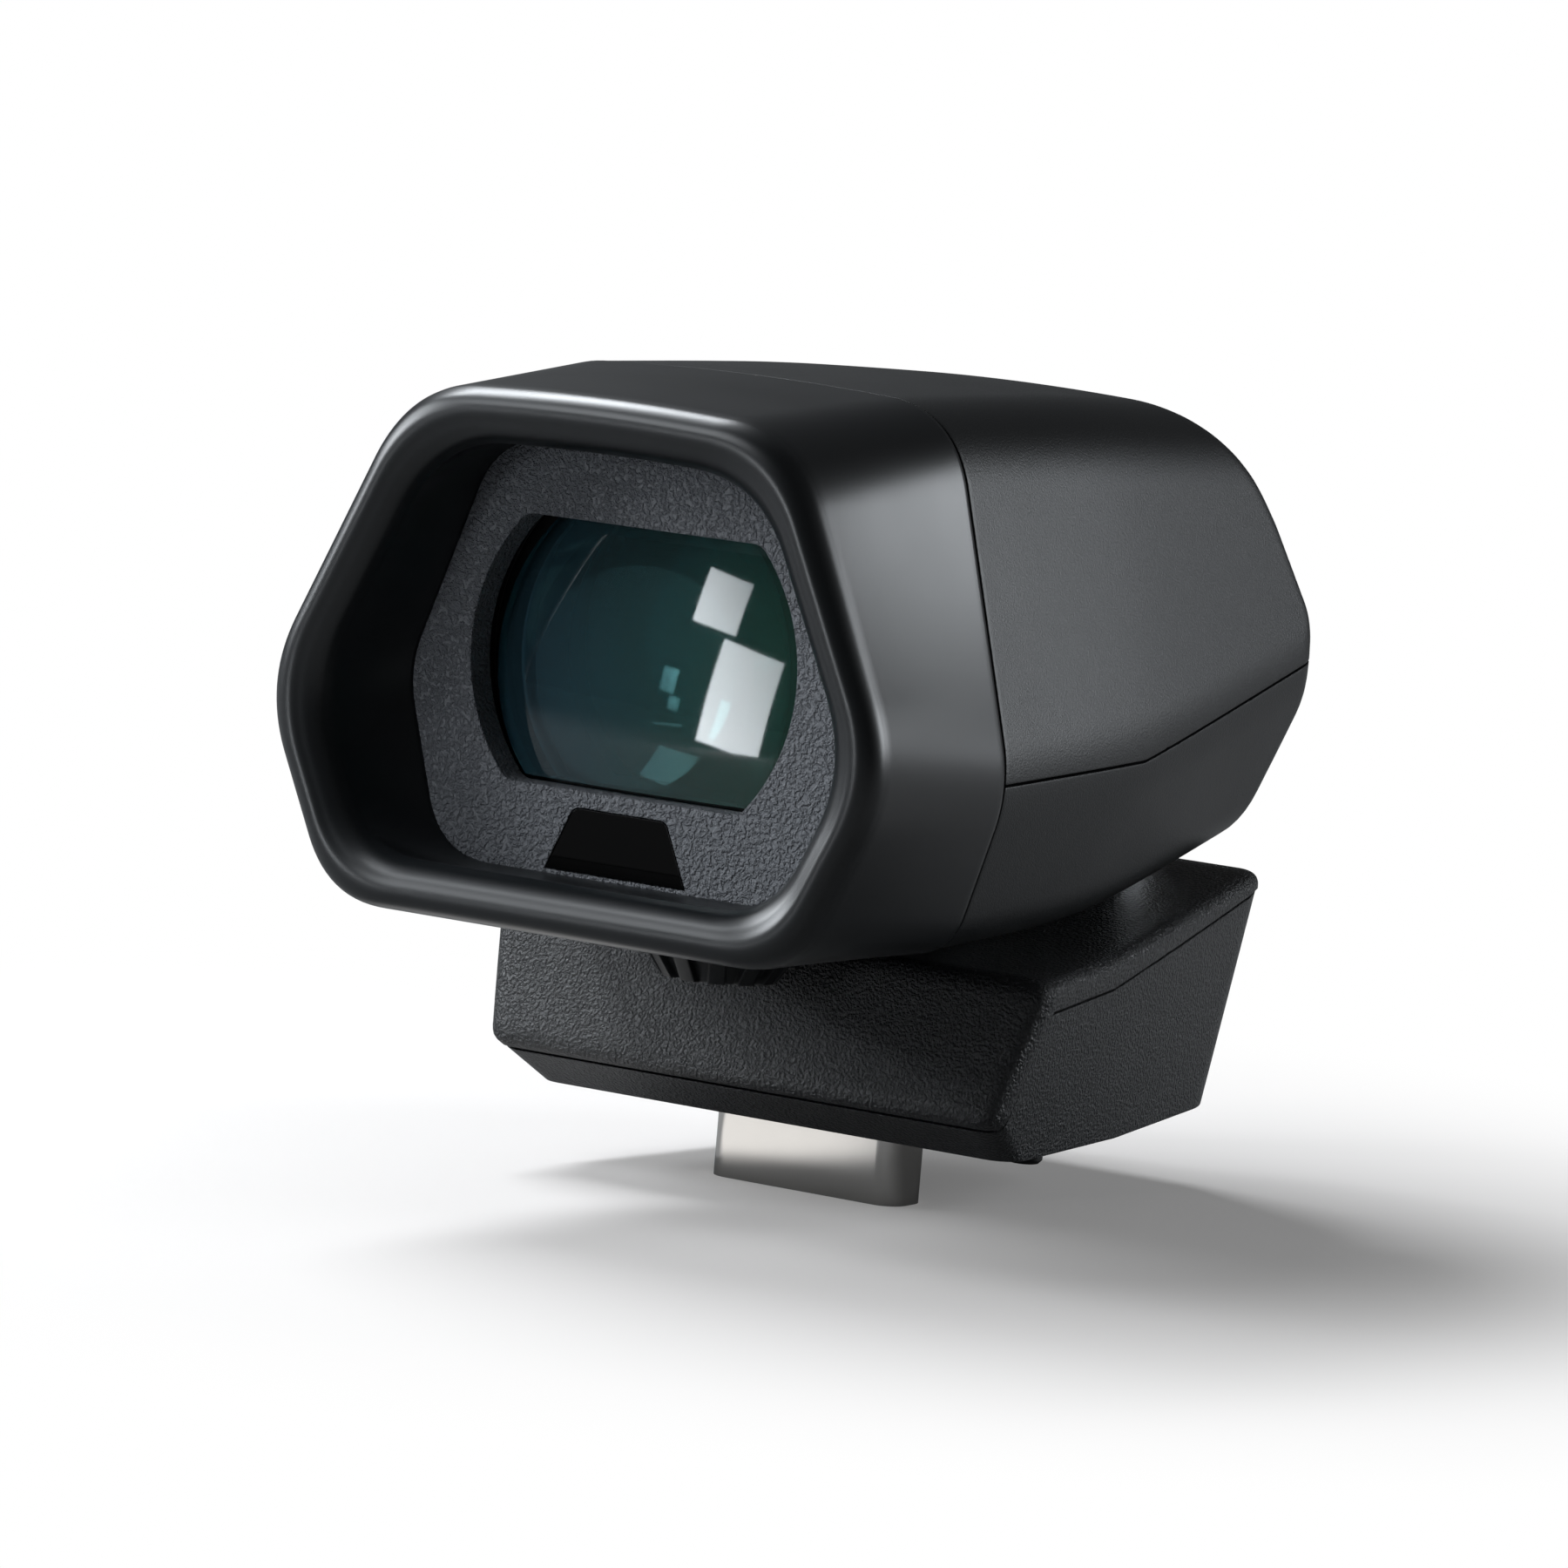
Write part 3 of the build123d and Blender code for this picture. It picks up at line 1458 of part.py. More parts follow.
with BuildPart() as head_flex_lead:
    head_lead_top = driver_board_bottom - connector_height - lead_thickness / 2
    head_lead_middle = (head_lead_start + head_lead_end) / 2
    with BuildSketch(Plane.YZ.offset(-head_lead_width / 2)):
        with BuildLine():
            ThreePointArc(
                about_hinge(head_lead_radius, head_lead_start),
                about_hinge(head_lead_radius, head_lead_middle),
                about_hinge(head_lead_radius, head_lead_end),
            )
            Polyline(
                about_hinge(head_lead_radius, head_lead_end),
                (head_lead_out_y, head_lead_out),
                (connector_rear_y + connector_depth / 2, head_lead_top),
                (connector_rear_y - connector_depth / 2, head_lead_top),
            )
        trace(line_width=lead_thickness)
    extrude(amount=head_lead_width)
head_flex_lead.part.label = "head_flex_lead"
export_step(head_flex_lead.part, "parts/head_flex_lead.step")

# Base: tapering plan, wedge-shaped side view and the round ridge that carries the hinge
hinge_ridge_top = hinge_height + hinge_barrel_radius
hinge_ridge_back = hinge_y + hinge_barrel_radius
cover_split_lower_share = (cover_split_corner - cover_split_front) / (tray_top - chin_top)
cover_split_lower_y = cover_split_corner_y - cover_split_lower_share * (tray_top_y - chin_y)
split_seam = 0.25
heel_slope = heel_rise / (seat_back_y - heel_start_y)


def base_under(y):
    """Height of the underside of the base at y, which rises at the heel."""
    return heel_slope * max(y - heel_start_y, 0)


def base_floor(y):
    """Height of the inside of the base's floor at y."""
    return base_under(y) + base_wall * sqrt(1 + heel_slope**2)


def base_plan(height, front, inset):
    """Plan of the base at height, with its front edge at front, pulled in by inset."""
    share = height / hinge_height
    wide_half = seat_front_half + share * (deck_front_half - seat_front_half)
    back_half = seat_back_half + share * (deck_back_half - seat_back_half)
    back = seat_back_y + share * (hinge_ridge_back - seat_back_y)
    front_half = wide_half + (front - base_plan_front) / (back - base_plan_front) * (back_half - wide_half)
    with BuildSketch(Plane.XY.offset(height)) as plan:
        with BuildLine():
            Polyline(
                (-front_half, front),
                (front_half, front),
                (back_half, back),
                (-back_half, back),
                close=True,
            )
        make_face()
        fillet(plan.vertices().group_by(Axis.Y)[-1], radius=base_back_corner_radius)
        fillet(plan.vertices().group_by(Axis.Y)[0], radius=base_edge_radius)
        if inset:
            offset(amount=-inset, mode=Mode.REPLACE)
    return plan.sketch


def base_form(inset=0):
    """Solid of the base, pulled in by inset."""
    chin_run = hinge_barrel_radius * (seat_front_y - chin_y) / chin
    with BuildPart() as form:
        add(base_plan(-hinge_barrel_radius, seat_front_y + chin_run, inset))
        add(base_plan(chin, chin_y, inset))
        add(base_plan(chin_top, chin_y, inset))
        add(base_plan(tray_top, tray_top_y, inset))
        add(base_plan(hinge_ridge_top + hinge_barrel_radius, tray_top_y, inset))
        loft(ruled=True)
        with BuildSketch(Plane.YZ):
            with BuildLine():
                Polyline(
                    (-overrun, 0),
                    (-overrun, tray_top),
                    (tray_top_y, tray_top),
                    (deck_bend_y, deck_bend),
                    (hinge_y, deck_back),
                    (hinge_y, hinge_height),
                    (overrun, hinge_height),
                    (overrun, base_under(overrun)),
                    (heel_start_y, 0),
                    close=True,
                )
            make_face()
            with Locations((hinge_y, hinge_height)):
                Circle(hinge_barrel_radius)
            if inset:
                offset(amount=-inset, mode=Mode.REPLACE)
        extrude(amount=overrun, both=True, mode=Mode.INTERSECT)
    return form.part


base_split = [
    (-overrun, cover_split_front),
    (cover_split_lower_y, cover_split_front),
    (cover_split_corner_y, cover_split_corner),
    (cover_split_bend_y, cover_split_bend),
    (hinge_y, cover_split_back),
    (overrun, cover_split_back),
]
lifted_base_split = [(y, z + split_seam) for y, z in base_split]
above_base_split = above_line(base_split, hinge_ridge_top + overrun)
above_lifted_base_split = above_line(lifted_base_split, hinge_ridge_top + overrun)
outer_base = base_form()
inner_base = base_form(base_wall)

slot_clearance = 0.35
slot_front_y = 27.2
slot_half = knuckle_half + slot_clearance
base_boss_radius = 2.2
base_post_radius = 2.6
base_post_top = 8.0
base_front_boss_x = 19.3
base_front_boss_y = -4.5
base_back_boss_x = 16.3
base_back_boss_y = 24.0
base_screw_radius = 0.9
base_head_radius = 1.7
base_head_height = 1.0
base_head_recess = 0.2
base_screw_bite = 4.0
front_bosses = [(side * base_front_boss_x, base_front_boss_y) for side in (-1, 1)]
base_bosses = front_bosses + [(side * base_back_boss_x, base_back_boss_y) for side in (-1, 1)]

# Seats on the floor of the base
board_bottom = 5.0
board_thickness = 1.0
base_board_half = 17.0
base_board_start = -7.0
base_board_end = 14.0
standoff_radius = 1.6
standoff_x = 14.0
standoff_ys = (-3.5, 11.0)
base_board_bite = 2.2
standoffs = [(side * standoff_x, y) for side in (-1, 1) for y in standoff_ys]
plug_top = board_bottom
ear_gap = 0.05
friction_washer = 0.4
ear_thickness = 1.4
ear_radius = 3.0
bracket_foot = 1.4
bracket_start_y = 20.0
bracket_end_y = 31.5
bracket_screw_x = 8.0
bracket_screw_ys = (22.0, 29.0)
bracket_screw_radius = 0.8
bracket_head_radius = 1.5
bracket_head_height = 0.7
bracket_head_recess = 0.1
pin_root_radius = 1.2
pin_root = 1.0
pin_relief = 0.3
bracket_screw_places = [(side * bracket_screw_x, y) for side in (-1, 1) for y in bracket_screw_ys]
pin_places = [(-locating_pin_x, locating_pin_y), (locating_pin_x, locating_pin_y)]


def base_screw_seat(y):
    """Height where the head of a base screw bears, sunk into the underside."""
    return base_under(y + base_head_radius) + base_head_recess + base_head_height


def bracket_screw_seat(y):
    """Height where the head of a bracket screw bears, sunk into the underside."""
    return base_under(y + bracket_head_radius) + bracket_head_recess + bracket_head_height


def plug_outline(height, grow=0):
    """Rounded outline of the plug as a level face, made larger by grow."""
    with BuildSketch(Plane.XY.offset(height)) as face:
        RectangleRounded(plug_width + 2 * grow, plug_depth + 2 * grow, plug_corner_radius + grow)
    return face.sketch


with BuildPart() as cover_bosses:
    with BuildSketch(Plane.XY.offset(base_post_top)):
        with Locations(*base_bosses):
            Circle(base_boss_radius)
    extrude(amount=hinge_ridge_top - base_post_top)
    add(base_form(base_wall / 2), mode=Mode.INTERSECT)

with BuildPart() as base_upper_cover:
    add(outer_base)
    add(inner_base, mode=Mode.SUBTRACT)
    add(above_lifted_base_split, mode=Mode.INTERSECT)
    add(cover_bosses.part)
    with BuildSketch(Plane.XY.offset(base_post_top)):
        with Locations(*base_bosses):
            Circle(base_screw_radius)
    extrude(amount=base_screw_bite, mode=Mode.SUBTRACT)
    # Slot for the knuckle and its arms
    with BuildSketch(Plane.YZ):
        with Locations((hinge_y, hinge_height)):
            Circle(knuckle_radius + knuckle_opening_clearance)
        with BuildLine():
            Polyline(
                (slot_front_y, hinge_height),
                (overrun, hinge_height),
                (overrun, hinge_ridge_top + overrun),
                (slot_front_y, hinge_ridge_top + overrun),
                close=True,
            )
        make_face()
    extrude(amount=slot_half, both=True, mode=Mode.SUBTRACT)
base_upper_cover.part.label = "base_upper_cover"
export_step(base_upper_cover.part, "parts/base_upper_cover.step")

with BuildPart() as base_posts:
    with BuildSketch(Plane.XY):
        with Locations(*base_bosses):
            Circle(base_post_radius)
    extrude(amount=base_post_top)
    with BuildSketch(Plane.XY):
        with Locations(*standoffs):
            Circle(standoff_radius)
    extrude(amount=board_bottom)
    add(base_form(base_wall / 2), mode=Mode.INTERSECT)

with BuildPart() as base_lower_housing:
    add(outer_base)
    add(inner_base, mode=Mode.SUBTRACT)
    add(above_base_split, mode=Mode.SUBTRACT)
    add(base_posts.part)
    with BuildSketch(Plane.XY):
        with Locations(*base_bosses):
            Circle(base_screw_radius + seat_clearance)
    extrude(amount=base_post_top, mode=Mode.SUBTRACT)
    for x, y in base_bosses:
        with BuildSketch(Plane.XY):
            with Locations((x, y)):
                Circle(base_head_radius + seat_clearance)
        extrude(amount=base_screw_seat(y), mode=Mode.SUBTRACT)
    with BuildSketch(Plane.XY.offset(board_bottom)):
        with Locations(*standoffs):
            Circle(small_screw_radius)
    extrude(amount=-base_board_bite, mode=Mode.SUBTRACT)
    with BuildSketch(Plane.XY):
        with Locations(*bracket_screw_places):
            Circle(bracket_screw_radius + seat_clearance)
        with Locations(*pin_places):
            Circle(pin_root_radius + running_clearance)
    extrude(amount=base_floor(bracket_end_y), mode=Mode.SUBTRACT)
    with BuildSketch(Plane.XY):
        with Locations(*pin_places):
            Circle(locating_pin_diameter / 2 + running_clearance)
    extrude(amount=pin_relief, mode=Mode.SUBTRACT)
    for x, y in bracket_screw_places:
        with BuildSketch(Plane.XY):
            with Locations((x, y)):
                Circle(bracket_head_radius + seat_clearance)
        extrude(amount=bracket_screw_seat(y), mode=Mode.SUBTRACT)
    extrude(plug_outline(0, seat_clearance), amount=base_wall, mode=Mode.SUBTRACT)
    with BuildSketch(Plane.YZ):
        with Locations((hinge_y, hinge_height)):
            Circle(knuckle_radius + knuckle_opening_clearance)
        with BuildLine():
            Polyline(
                (slot_front_y, hinge_height),
                (overrun, hinge_height),
                (overrun, hinge_ridge_top + overrun),
                (slot_front_y, hinge_ridge_top + overrun),
                close=True,
            )
        make_face()
    extrude(amount=slot_half, both=True, mode=Mode.SUBTRACT)
base_lower_housing.part.label = "base_lower_housing"
export_step(base_lower_housing.part, "parts/base_lower_housing.step")

base_screw_tip = base_post_top + base_screw_bite - seat_clearance
base_screws = [
    upright_screw(
        x,
        y,
        base_screw_seat(y) - base_head_height,
        base_head_height,
        base_head_radius,
        base_screw_tip - base_screw_seat(y),
        base_screw_radius,
    )
    for x, y in base_bosses
]
with BuildPart() as base_screw_set:
    add(base_screws)
base_screw_set.part.label = "base_screws"
export_step(base_screw_set.part, "parts/base_screws.step")

# Hinge bracket: two ears on one foot, the pins and the friction stacks on them
washer_start = knuckle_half + running_clearance
ear_start = washer_start + friction_washer + ear_gap
ear_end = ear_start + ear_thickness
spring_depth = 1.5
spring_radius = 2.8
nut_depth = 1.6
nut_radius = 2.7
nut_sides = 6
pin_end = 0.3
pin_flange_radius = 2.2
pin_flange = 0.8
pin_flange_end = knuckle_inner_half - running_clearance
nut_start = ear_end + spring_depth

with BuildPart() as hinge_bracket:
    with BuildSketch(Plane.YZ):
        with BuildLine():
            Polyline(
                (bracket_start_y, base_floor(bracket_start_y)),
                (bracket_end_y, base_floor(bracket_end_y)),
                (hinge_y + ear_radius, hinge_height),
                (hinge_y - ear_radius, hinge_height),
                (bracket_start_y, base_floor(bracket_start_y) + bracket_foot),
                close=True,
            )
        make_face()
        with Locations((hinge_y, hinge_height)):
            Circle(ear_radius)
    extrude(amount=ear_end, both=True)
    with BuildSketch(Plane.YZ):
        with BuildLine():
            Polyline(
                (heel_start_y, base_floor(heel_start_y) + bracket_foot),
                (overrun, base_floor(overrun) + bracket_foot),
                (overrun, hinge_ridge_top),
                (heel_start_y, hinge_ridge_top),
                close=True,
            )
        make_face()
    extrude(amount=ear_start, both=True, mode=Mode.SUBTRACT)
    with BuildSketch(hinge_axis_plane):
        Circle(pin_diameter / 2)
    extrude(amount=ear_end, both=True, mode=Mode.SUBTRACT)
    with BuildSketch(Plane.XY):
        with Locations(*bracket_screw_places):
            Circle(bracket_screw_radius)
    extrude(amount=hinge_height, mode=Mode.SUBTRACT)
hinge_bracket.part.label = "hinge_bracket"
export_step(hinge_bracket.part, "parts/hinge_bracket.step")

bracket_screws = [
    upright_screw(
        x,
        y,
        bracket_screw_seat(y) - bracket_head_height,
        bracket_head_height,
        bracket_head_radius,
        base_floor(y) + bracket_foot - bracket_screw_seat(y),
        bracket_screw_radius,
    )
    for x, y in bracket_screw_places
]
with BuildPart() as bracket_screw_set:
    add(bracket_screws)
bracket_screw_set.part.label = "bracket_screws"
export_step(bracket_screw_set.part, "parts/bracket_screws.step")

with BuildPart() as hinge_pins:
    pin_tip = nut_start + nut_depth + pin_end
    with BuildSketch(hinge_axis_plane.offset(pin_flange_end)):
        Circle(pin_diameter / 2)
    extrude(amount=pin_tip - pin_flange_end)
    with BuildSketch(hinge_axis_plane.offset(pin_flange_end - pin_flange)):
        Circle(pin_flange_radius)
    extrude(amount=pin_flange)
    mirror(about=Plane.YZ)
hinge_pins.part.label = "hinge_pins"
export_step(hinge_pins.part, "parts/hinge_pins.step")

with BuildPart() as friction_washers:
    add(ring_along_x(washer_start, friction_washer, spring_radius, pin_diameter / 2 + running_clearance))
    mirror(about=Plane.YZ)
friction_washers.part.label = "friction_washers"
export_step(friction_washers.part, "parts/friction_washers.step")

with BuildPart() as disc_springs:
    add(ring_along_x(ear_end, spring_depth, spring_radius, pin_diameter / 2 + running_clearance))
    mirror(about=Plane.YZ)
disc_springs.part.label = "disc_springs"
export_step(disc_springs.part, "parts/disc_springs.step")

with BuildPart() as hinge_nuts:
    with BuildSketch(hinge_axis_plane.offset(nut_start)):
        RegularPolygon(nut_radius, nut_sides)
        Circle(pin_diameter / 2, mode=Mode.SUBTRACT)
    extrude(amount=nut_depth)
    mirror(about=Plane.YZ)
hinge_nuts.part.label = "hinge_nuts"
export_step(hinge_nuts.part, "parts/hinge_nuts.step")

# Electronics of the base
base_controller_half = 3.0
base_controller_height = 0.9
base_controller_x = -8.0
base_controller_y = 3.0
base_connector_half = 4.5
base_connector_depth = 3.0
base_connector_height = 1.3
base_connector_y = 11.5
base_lead_bend = 1.5
base_lead_turn_y = 24.0
base_lead_rise_y = 30.5
base_lead_rise = 11.5
base_lead_gate = 250.0
base_lead_end_radius = 0.9
base_board_top = board_bottom + board_thickness
base_board_middle = (base_board_start + base_board_end) / 2

with BuildPart() as base_board:
    base_board_half_depth = (base_board_end - base_board_start) / 2
    add(slab_on(board_bottom, 0, base_board_middle, base_board_half, base_board_half_depth, board_thickness))
    with BuildSketch(Plane.XY.offset(board_bottom)):
        with Locations(*standoffs):
            Circle(small_screw_radius + seat_clearance)
        with Locations(*front_bosses):
            Circle(base_post_radius + knuckle_opening_clearance)
    extrude(amount=board_thickness, mode=Mode.SUBTRACT)
base_board.part.label = "base_board"
export_step(base_board.part, "parts/base_board.step")

base_board_screw_length = board_thickness + base_board_bite - seat_clearance
base_board_screws = [
    driven_down(
        x,
        y,
        base_board_top,
        driver_head,
        driver_head_radius,
        base_board_screw_length,
        small_screw_radius,
    )
    for x, y in standoffs
]
with BuildPart() as base_board_screw_set:
    add(base_board_screws)
base_board_screw_set.part.label = "base_board_screws"
export_step(base_board_screw_set.part, "parts/base_board_screws.step")

with BuildPart() as base_controller:
    add(
        slab_on(
            base_board_top,
            base_controller_x,
            base_controller_y,
            base_controller_half,
            base_controller_half,
            base_controller_height,
        )
    )
base_controller.part.label = "base_controller"
export_step(base_controller.part, "parts/base_controller.step")

with BuildPart() as base_connector:
    add(
        slab_on(
            base_board_top,
            0,
            base_connector_y,
            base_connector_half,
            base_connector_depth / 2,
            base_connector_height,
        )
    )
base_connector.part.label = "base_connector"
export_step(base_connector.part, "parts/base_connector.step")

with BuildPart() as base_flex_lead:
    base_lead_z = base_board_top + base_connector_height + lead_thickness / 2
    base_lead_route = [
        (base_connector_y - base_connector_depth / 2, base_lead_z),
        (base_lead_turn_y, base_lead_z),
        (base_lead_rise_y, base_lead_rise),
        about_hinge(knuckle_radius, base_lead_gate),
        about_hinge(base_lead_end_radius, base_lead_gate),
    ]
    add(ribbon(base_lead_route, base_lead_bend, head_lead_width, lead_thickness))
base_flex_lead.part.label = "base_flex_lead"
export_step(base_flex_lead.part, "parts/base_flex_lead.step")

# Plug: metal shell round a tongue with contacts on both faces
plug_roof = 0.8
plug_tongue_half = 7.0
plug_tongue_half_depth = 0.9
plug_tongue_reach = 5.5
contact_count = 10
contact_pitch = 1.25
contact_width = 0.6
contact_thickness = 0.15
contact_reach = 5.1
plug_flange = 0.8
plug_flange_grow = 1.2

with BuildPart() as plug_shell:
    extrude(plug_outline(-plug_reach), amount=plug_reach + plug_top)
    extrude(plug_outline(base_wall, plug_flange_grow), amount=plug_flange)
    extrude(
        plug_outline(-plug_reach, -plug_wall), amount=plug_reach + plug_top - plug_roof, mode=Mode.SUBTRACT
    )
plug_shell.part.label = "plug_shell"
export_step(plug_shell.part, "parts/plug_shell.step")

with BuildPart() as plug_tongue:
    with BuildSketch(Plane.XY.offset(-plug_tongue_reach)):
        Rectangle(2 * plug_tongue_half, 2 * plug_tongue_half_depth)
    extrude(amount=plug_tongue_reach + base_wall)
    extrude(plug_outline(base_wall, -plug_wall), amount=plug_top - plug_roof - base_wall)
    with BuildSketch(Plane.XY.offset(plug_top - plug_roof)):
        with GridLocations(contact_pitch, 2 * plug_tongue_half_depth, contact_count, 2):
            Rectangle(contact_width, 2 * contact_thickness)
    extrude(amount=-plug_top - plug_reach, mode=Mode.SUBTRACT)
plug_tongue.part.label = "plug_tongue"
export_step(plug_tongue.part, "parts/plug_tongue.step")

with BuildPart() as plug_contacts:
    for side in (-1, 1):
        with BuildSketch(Plane.XY.offset(-contact_reach)):
            with Locations((0, side * (plug_tongue_half_depth - contact_thickness / 2))):
                with GridLocations(contact_pitch, 0, contact_count, 1):
                    Rectangle(contact_width, contact_thickness)
        extrude(amount=contact_reach + plug_top - plug_roof)
plug_contacts.part.label = "plug_contacts"
export_step(plug_contacts.part, "parts/plug_contacts.step")

# Locating pins beside the plug
pin_tip_chamfer = 0.3

with BuildPart() as locating_pins:
    with BuildSketch(Plane.XY.offset(-locating_pin_reach)):
        with Locations(*pin_places):
            Circle(locating_pin_diameter / 2)
    extrude(amount=locating_pin_reach)
    chamfer(locating_pins.edges().group_by(Axis.Z)[0], length=pin_tip_chamfer)
    with BuildSketch(Plane.XY):
        with Locations(*pin_places):
            Circle(pin_root_radius)
    extrude(amount=base_wall + pin_root)
locating_pins.part.label = "locating_pins"
export_step(locating_pins.part, "parts/locating_pins.step")
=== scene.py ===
"""Looks of a clip-on electronic viewfinder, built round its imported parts.

Sizes in the classes are millimetres in the frame of the parts: X to the right,
Y away from the eye and Z up. Meshes are made in metres.
"""
import json
import logging
from dataclasses import dataclass, field
from enum import Enum
from math import acos, cos, pi, radians, sin
from typing import Callable, Sequence

import bmesh
import bpy
import numpy as np
from mathutils import Matrix, Vector


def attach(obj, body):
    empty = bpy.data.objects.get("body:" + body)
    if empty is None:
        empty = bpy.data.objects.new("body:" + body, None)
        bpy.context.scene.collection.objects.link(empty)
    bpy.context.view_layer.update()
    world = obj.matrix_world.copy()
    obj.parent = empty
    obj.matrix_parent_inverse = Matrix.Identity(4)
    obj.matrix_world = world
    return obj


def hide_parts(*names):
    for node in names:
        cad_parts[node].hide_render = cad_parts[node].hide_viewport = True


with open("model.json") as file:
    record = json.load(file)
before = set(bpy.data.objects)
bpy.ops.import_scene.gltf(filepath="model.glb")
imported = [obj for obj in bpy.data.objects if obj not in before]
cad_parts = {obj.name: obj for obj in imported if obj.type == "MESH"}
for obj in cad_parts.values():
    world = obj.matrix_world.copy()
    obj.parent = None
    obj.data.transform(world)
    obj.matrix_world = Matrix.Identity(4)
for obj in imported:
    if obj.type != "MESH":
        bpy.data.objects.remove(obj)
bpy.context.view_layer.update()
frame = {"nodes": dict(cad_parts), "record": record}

MM = 0.001
LOG = logging.getLogger("viewfinder")
Array = np.ndarray
Point = tuple[float, float, float]
Color = tuple[float, float, float]


# Shapes as signed fields: negative inside, zero on the surface


def smooth_max(first: Array, second: Array, radius: Array | float) -> Array:
    """Largest of two fields, with the edge between them rounded.

    Args:
        first: Values of one field.
        second: Values of the other field.
        radius: Width of the rounding, as blend_width gives it.

    Returns:
        The joined field.
    """
    overlap = np.maximum(radius - np.abs(first - second), 0) / radius
    return np.maximum(first, second) + overlap**2 * radius / 4


def blend_width(edge_radius: float, turn: float) -> float:
    """Rounding width that gives edge_radius where two faces turn by an angle.

    Args:
        edge_radius: Radius of the rounded edge.
        turn: Angle between the two faces' normals, in radians.

    Returns:
        The width for smooth_max.
    """
    return edge_radius * (1 - cos(turn))


def beside_line(across: Array, up: Array, start: Array, end: Array) -> Array:
    """Distance to the right of a line that runs from start to end.

    Args:
        across: First coordinate of each point.
        up: Second coordinate of each point.
        start: First point of the line, as two values or two rows.
        end: Second point of the line.

    Returns:
        Signed distances, positive on the right.
    """
    run, rise = end[0] - start[0], end[1] - start[1]
    length = np.hypot(run, rise)
    return ((across - start[0]) * rise - (up - start[1]) * run) / length


@dataclass(frozen=True)
class Section:
    """Six-sided outline across the optical axis, with rounded corners."""

    top_half: float
    top: float
    vertex_half: float
    vertex: float
    floor_half: float
    floor: float

    def values(self) -> Array:
        """Sizes as one column."""
        return np.array(
            [self.top_half, self.top, self.vertex_half, self.vertex, self.floor_half, self.floor]
        )


@dataclass(frozen=True)
class Corners:
    """Corner radii and top crown that go with a section."""

    top: float
    vertex: float
    floor: float
    crown: float = 0.8

    def field(self, x: Array, z: Array, sizes: Array) -> Array:
        """Distance outside a six-sided outline.

        Args:
            x: Places to the right.
            z: Heights.
            sizes: Section values, as one column or one column a point.

        Returns:
            Signed distances.
        """
        side = np.abs(x)
        top_half, top, vertex_half, vertex, floor_half, floor = sizes
        share = np.minimum(side / top_half, 1.2)
        lid = z - top - self.crown * (1 - share**2)
        upper = beside_line(side, z, (vertex_half, vertex), (top_half, top))
        lower = beside_line(side, z, (floor_half, floor), (vertex_half, vertex))
        under = floor - z
        upper_lean = np.arctan2(vertex_half - top_half, top - vertex)
        lower_lean = np.arctan2(vertex_half - floor_half, vertex - floor)
        turns = (pi / 2 - upper_lean, upper_lean + lower_lean, pi / 2 - lower_lean)
        widths = [r * (1 - np.cos(t)) for r, t in zip((self.top, self.vertex, self.floor), turns)]
        shape = smooth_max(upper, lower, widths[1])
        shape = smooth_max(shape, lid, widths[0])
        return smooth_max(shape, under, widths[2])


def solve(shape: Callable[[Array], Array], starts: Array, ways: Array, reach: float = 90.0) -> Array:
    """Points where rays from inside leave a shape.

    Args:
        shape: Field of the shape, from points to distances.
        starts: Start of each ray, inside the shape.
        ways: Unit direction of each ray.
        reach: Length within which every ray leaves the shape.

    Returns:
        One point a ray.
    """
    low = np.zeros(len(starts))
    high = np.full(len(starts), reach)
    for _ in range(44):
        middle = (low + high) / 2
        inside = shape(starts + middle[:, None] * ways) < 0
        low = np.where(inside, middle, low)
        high = np.where(inside, high, middle)
    return starts + ((low + high) / 2)[:, None] * ways


def radial_ring(sizes: Array, corners: Corners, centre: float, count: int, inset: float = 0) -> Array:
    """Distances from the axis to a six-sided outline, at even angles.

    Args:
        sizes: Section values.
        corners: Corner radii.
        centre: Height of the axis.
        count: Number of angles.
        inset: How far the outline is pulled in.

    Returns:
        One distance an angle.
    """
    angles = np.arange(count) * 2 * pi / count
    ways = np.stack([np.cos(angles), np.zeros(count), np.sin(angles)], 1)
    starts = np.tile(np.array([0.0, 0.0, centre]), (count, 1))
    hits = solve(lambda p: corners.field(p[:, 0], p[:, 2], sizes[:, None]) + inset, starts, ways)
    return np.linalg.norm(hits - starts, axis=1)


def ring_points(distances: Array, y: float, centre: float) -> Array:
    """Points of a ring about the axis at y, at even angles."""
    angles = np.arange(len(distances)) * 2 * pi / len(distances)
    heights = centre + distances * np.sin(angles)
    return np.stack([distances * np.cos(angles), np.full(len(distances), y), heights], 1)


def smooth_path(points: Sequence[tuple[float, ...]], steps: int) -> Array:
    """Even points on a smooth curve through given ones, for a moulded profile.

    Args:
        points: Points that the curve passes through.
        steps: Pieces between each two points.

    Returns:
        The points of the curve.
    """
    knots = np.array(points, float)
    padded = np.vstack([2 * knots[0] - knots[1], knots, 2 * knots[-1] - knots[-2]])
    rows = []
    for before, start, end, after in zip(padded, padded[1:], padded[2:], padded[3:]):
        for step in range(steps):
            t = step / steps
            rows.append(
                0.5
                * (
                    2 * start
                    + (end - before) * t
                    + (2 * before - 5 * start + 4 * end - after) * t**2
                    + (3 * start - before - 3 * end + after) * t**3
                )
            )
    rows.append(knots[-1])
    return np.array(rows)


# Meshes


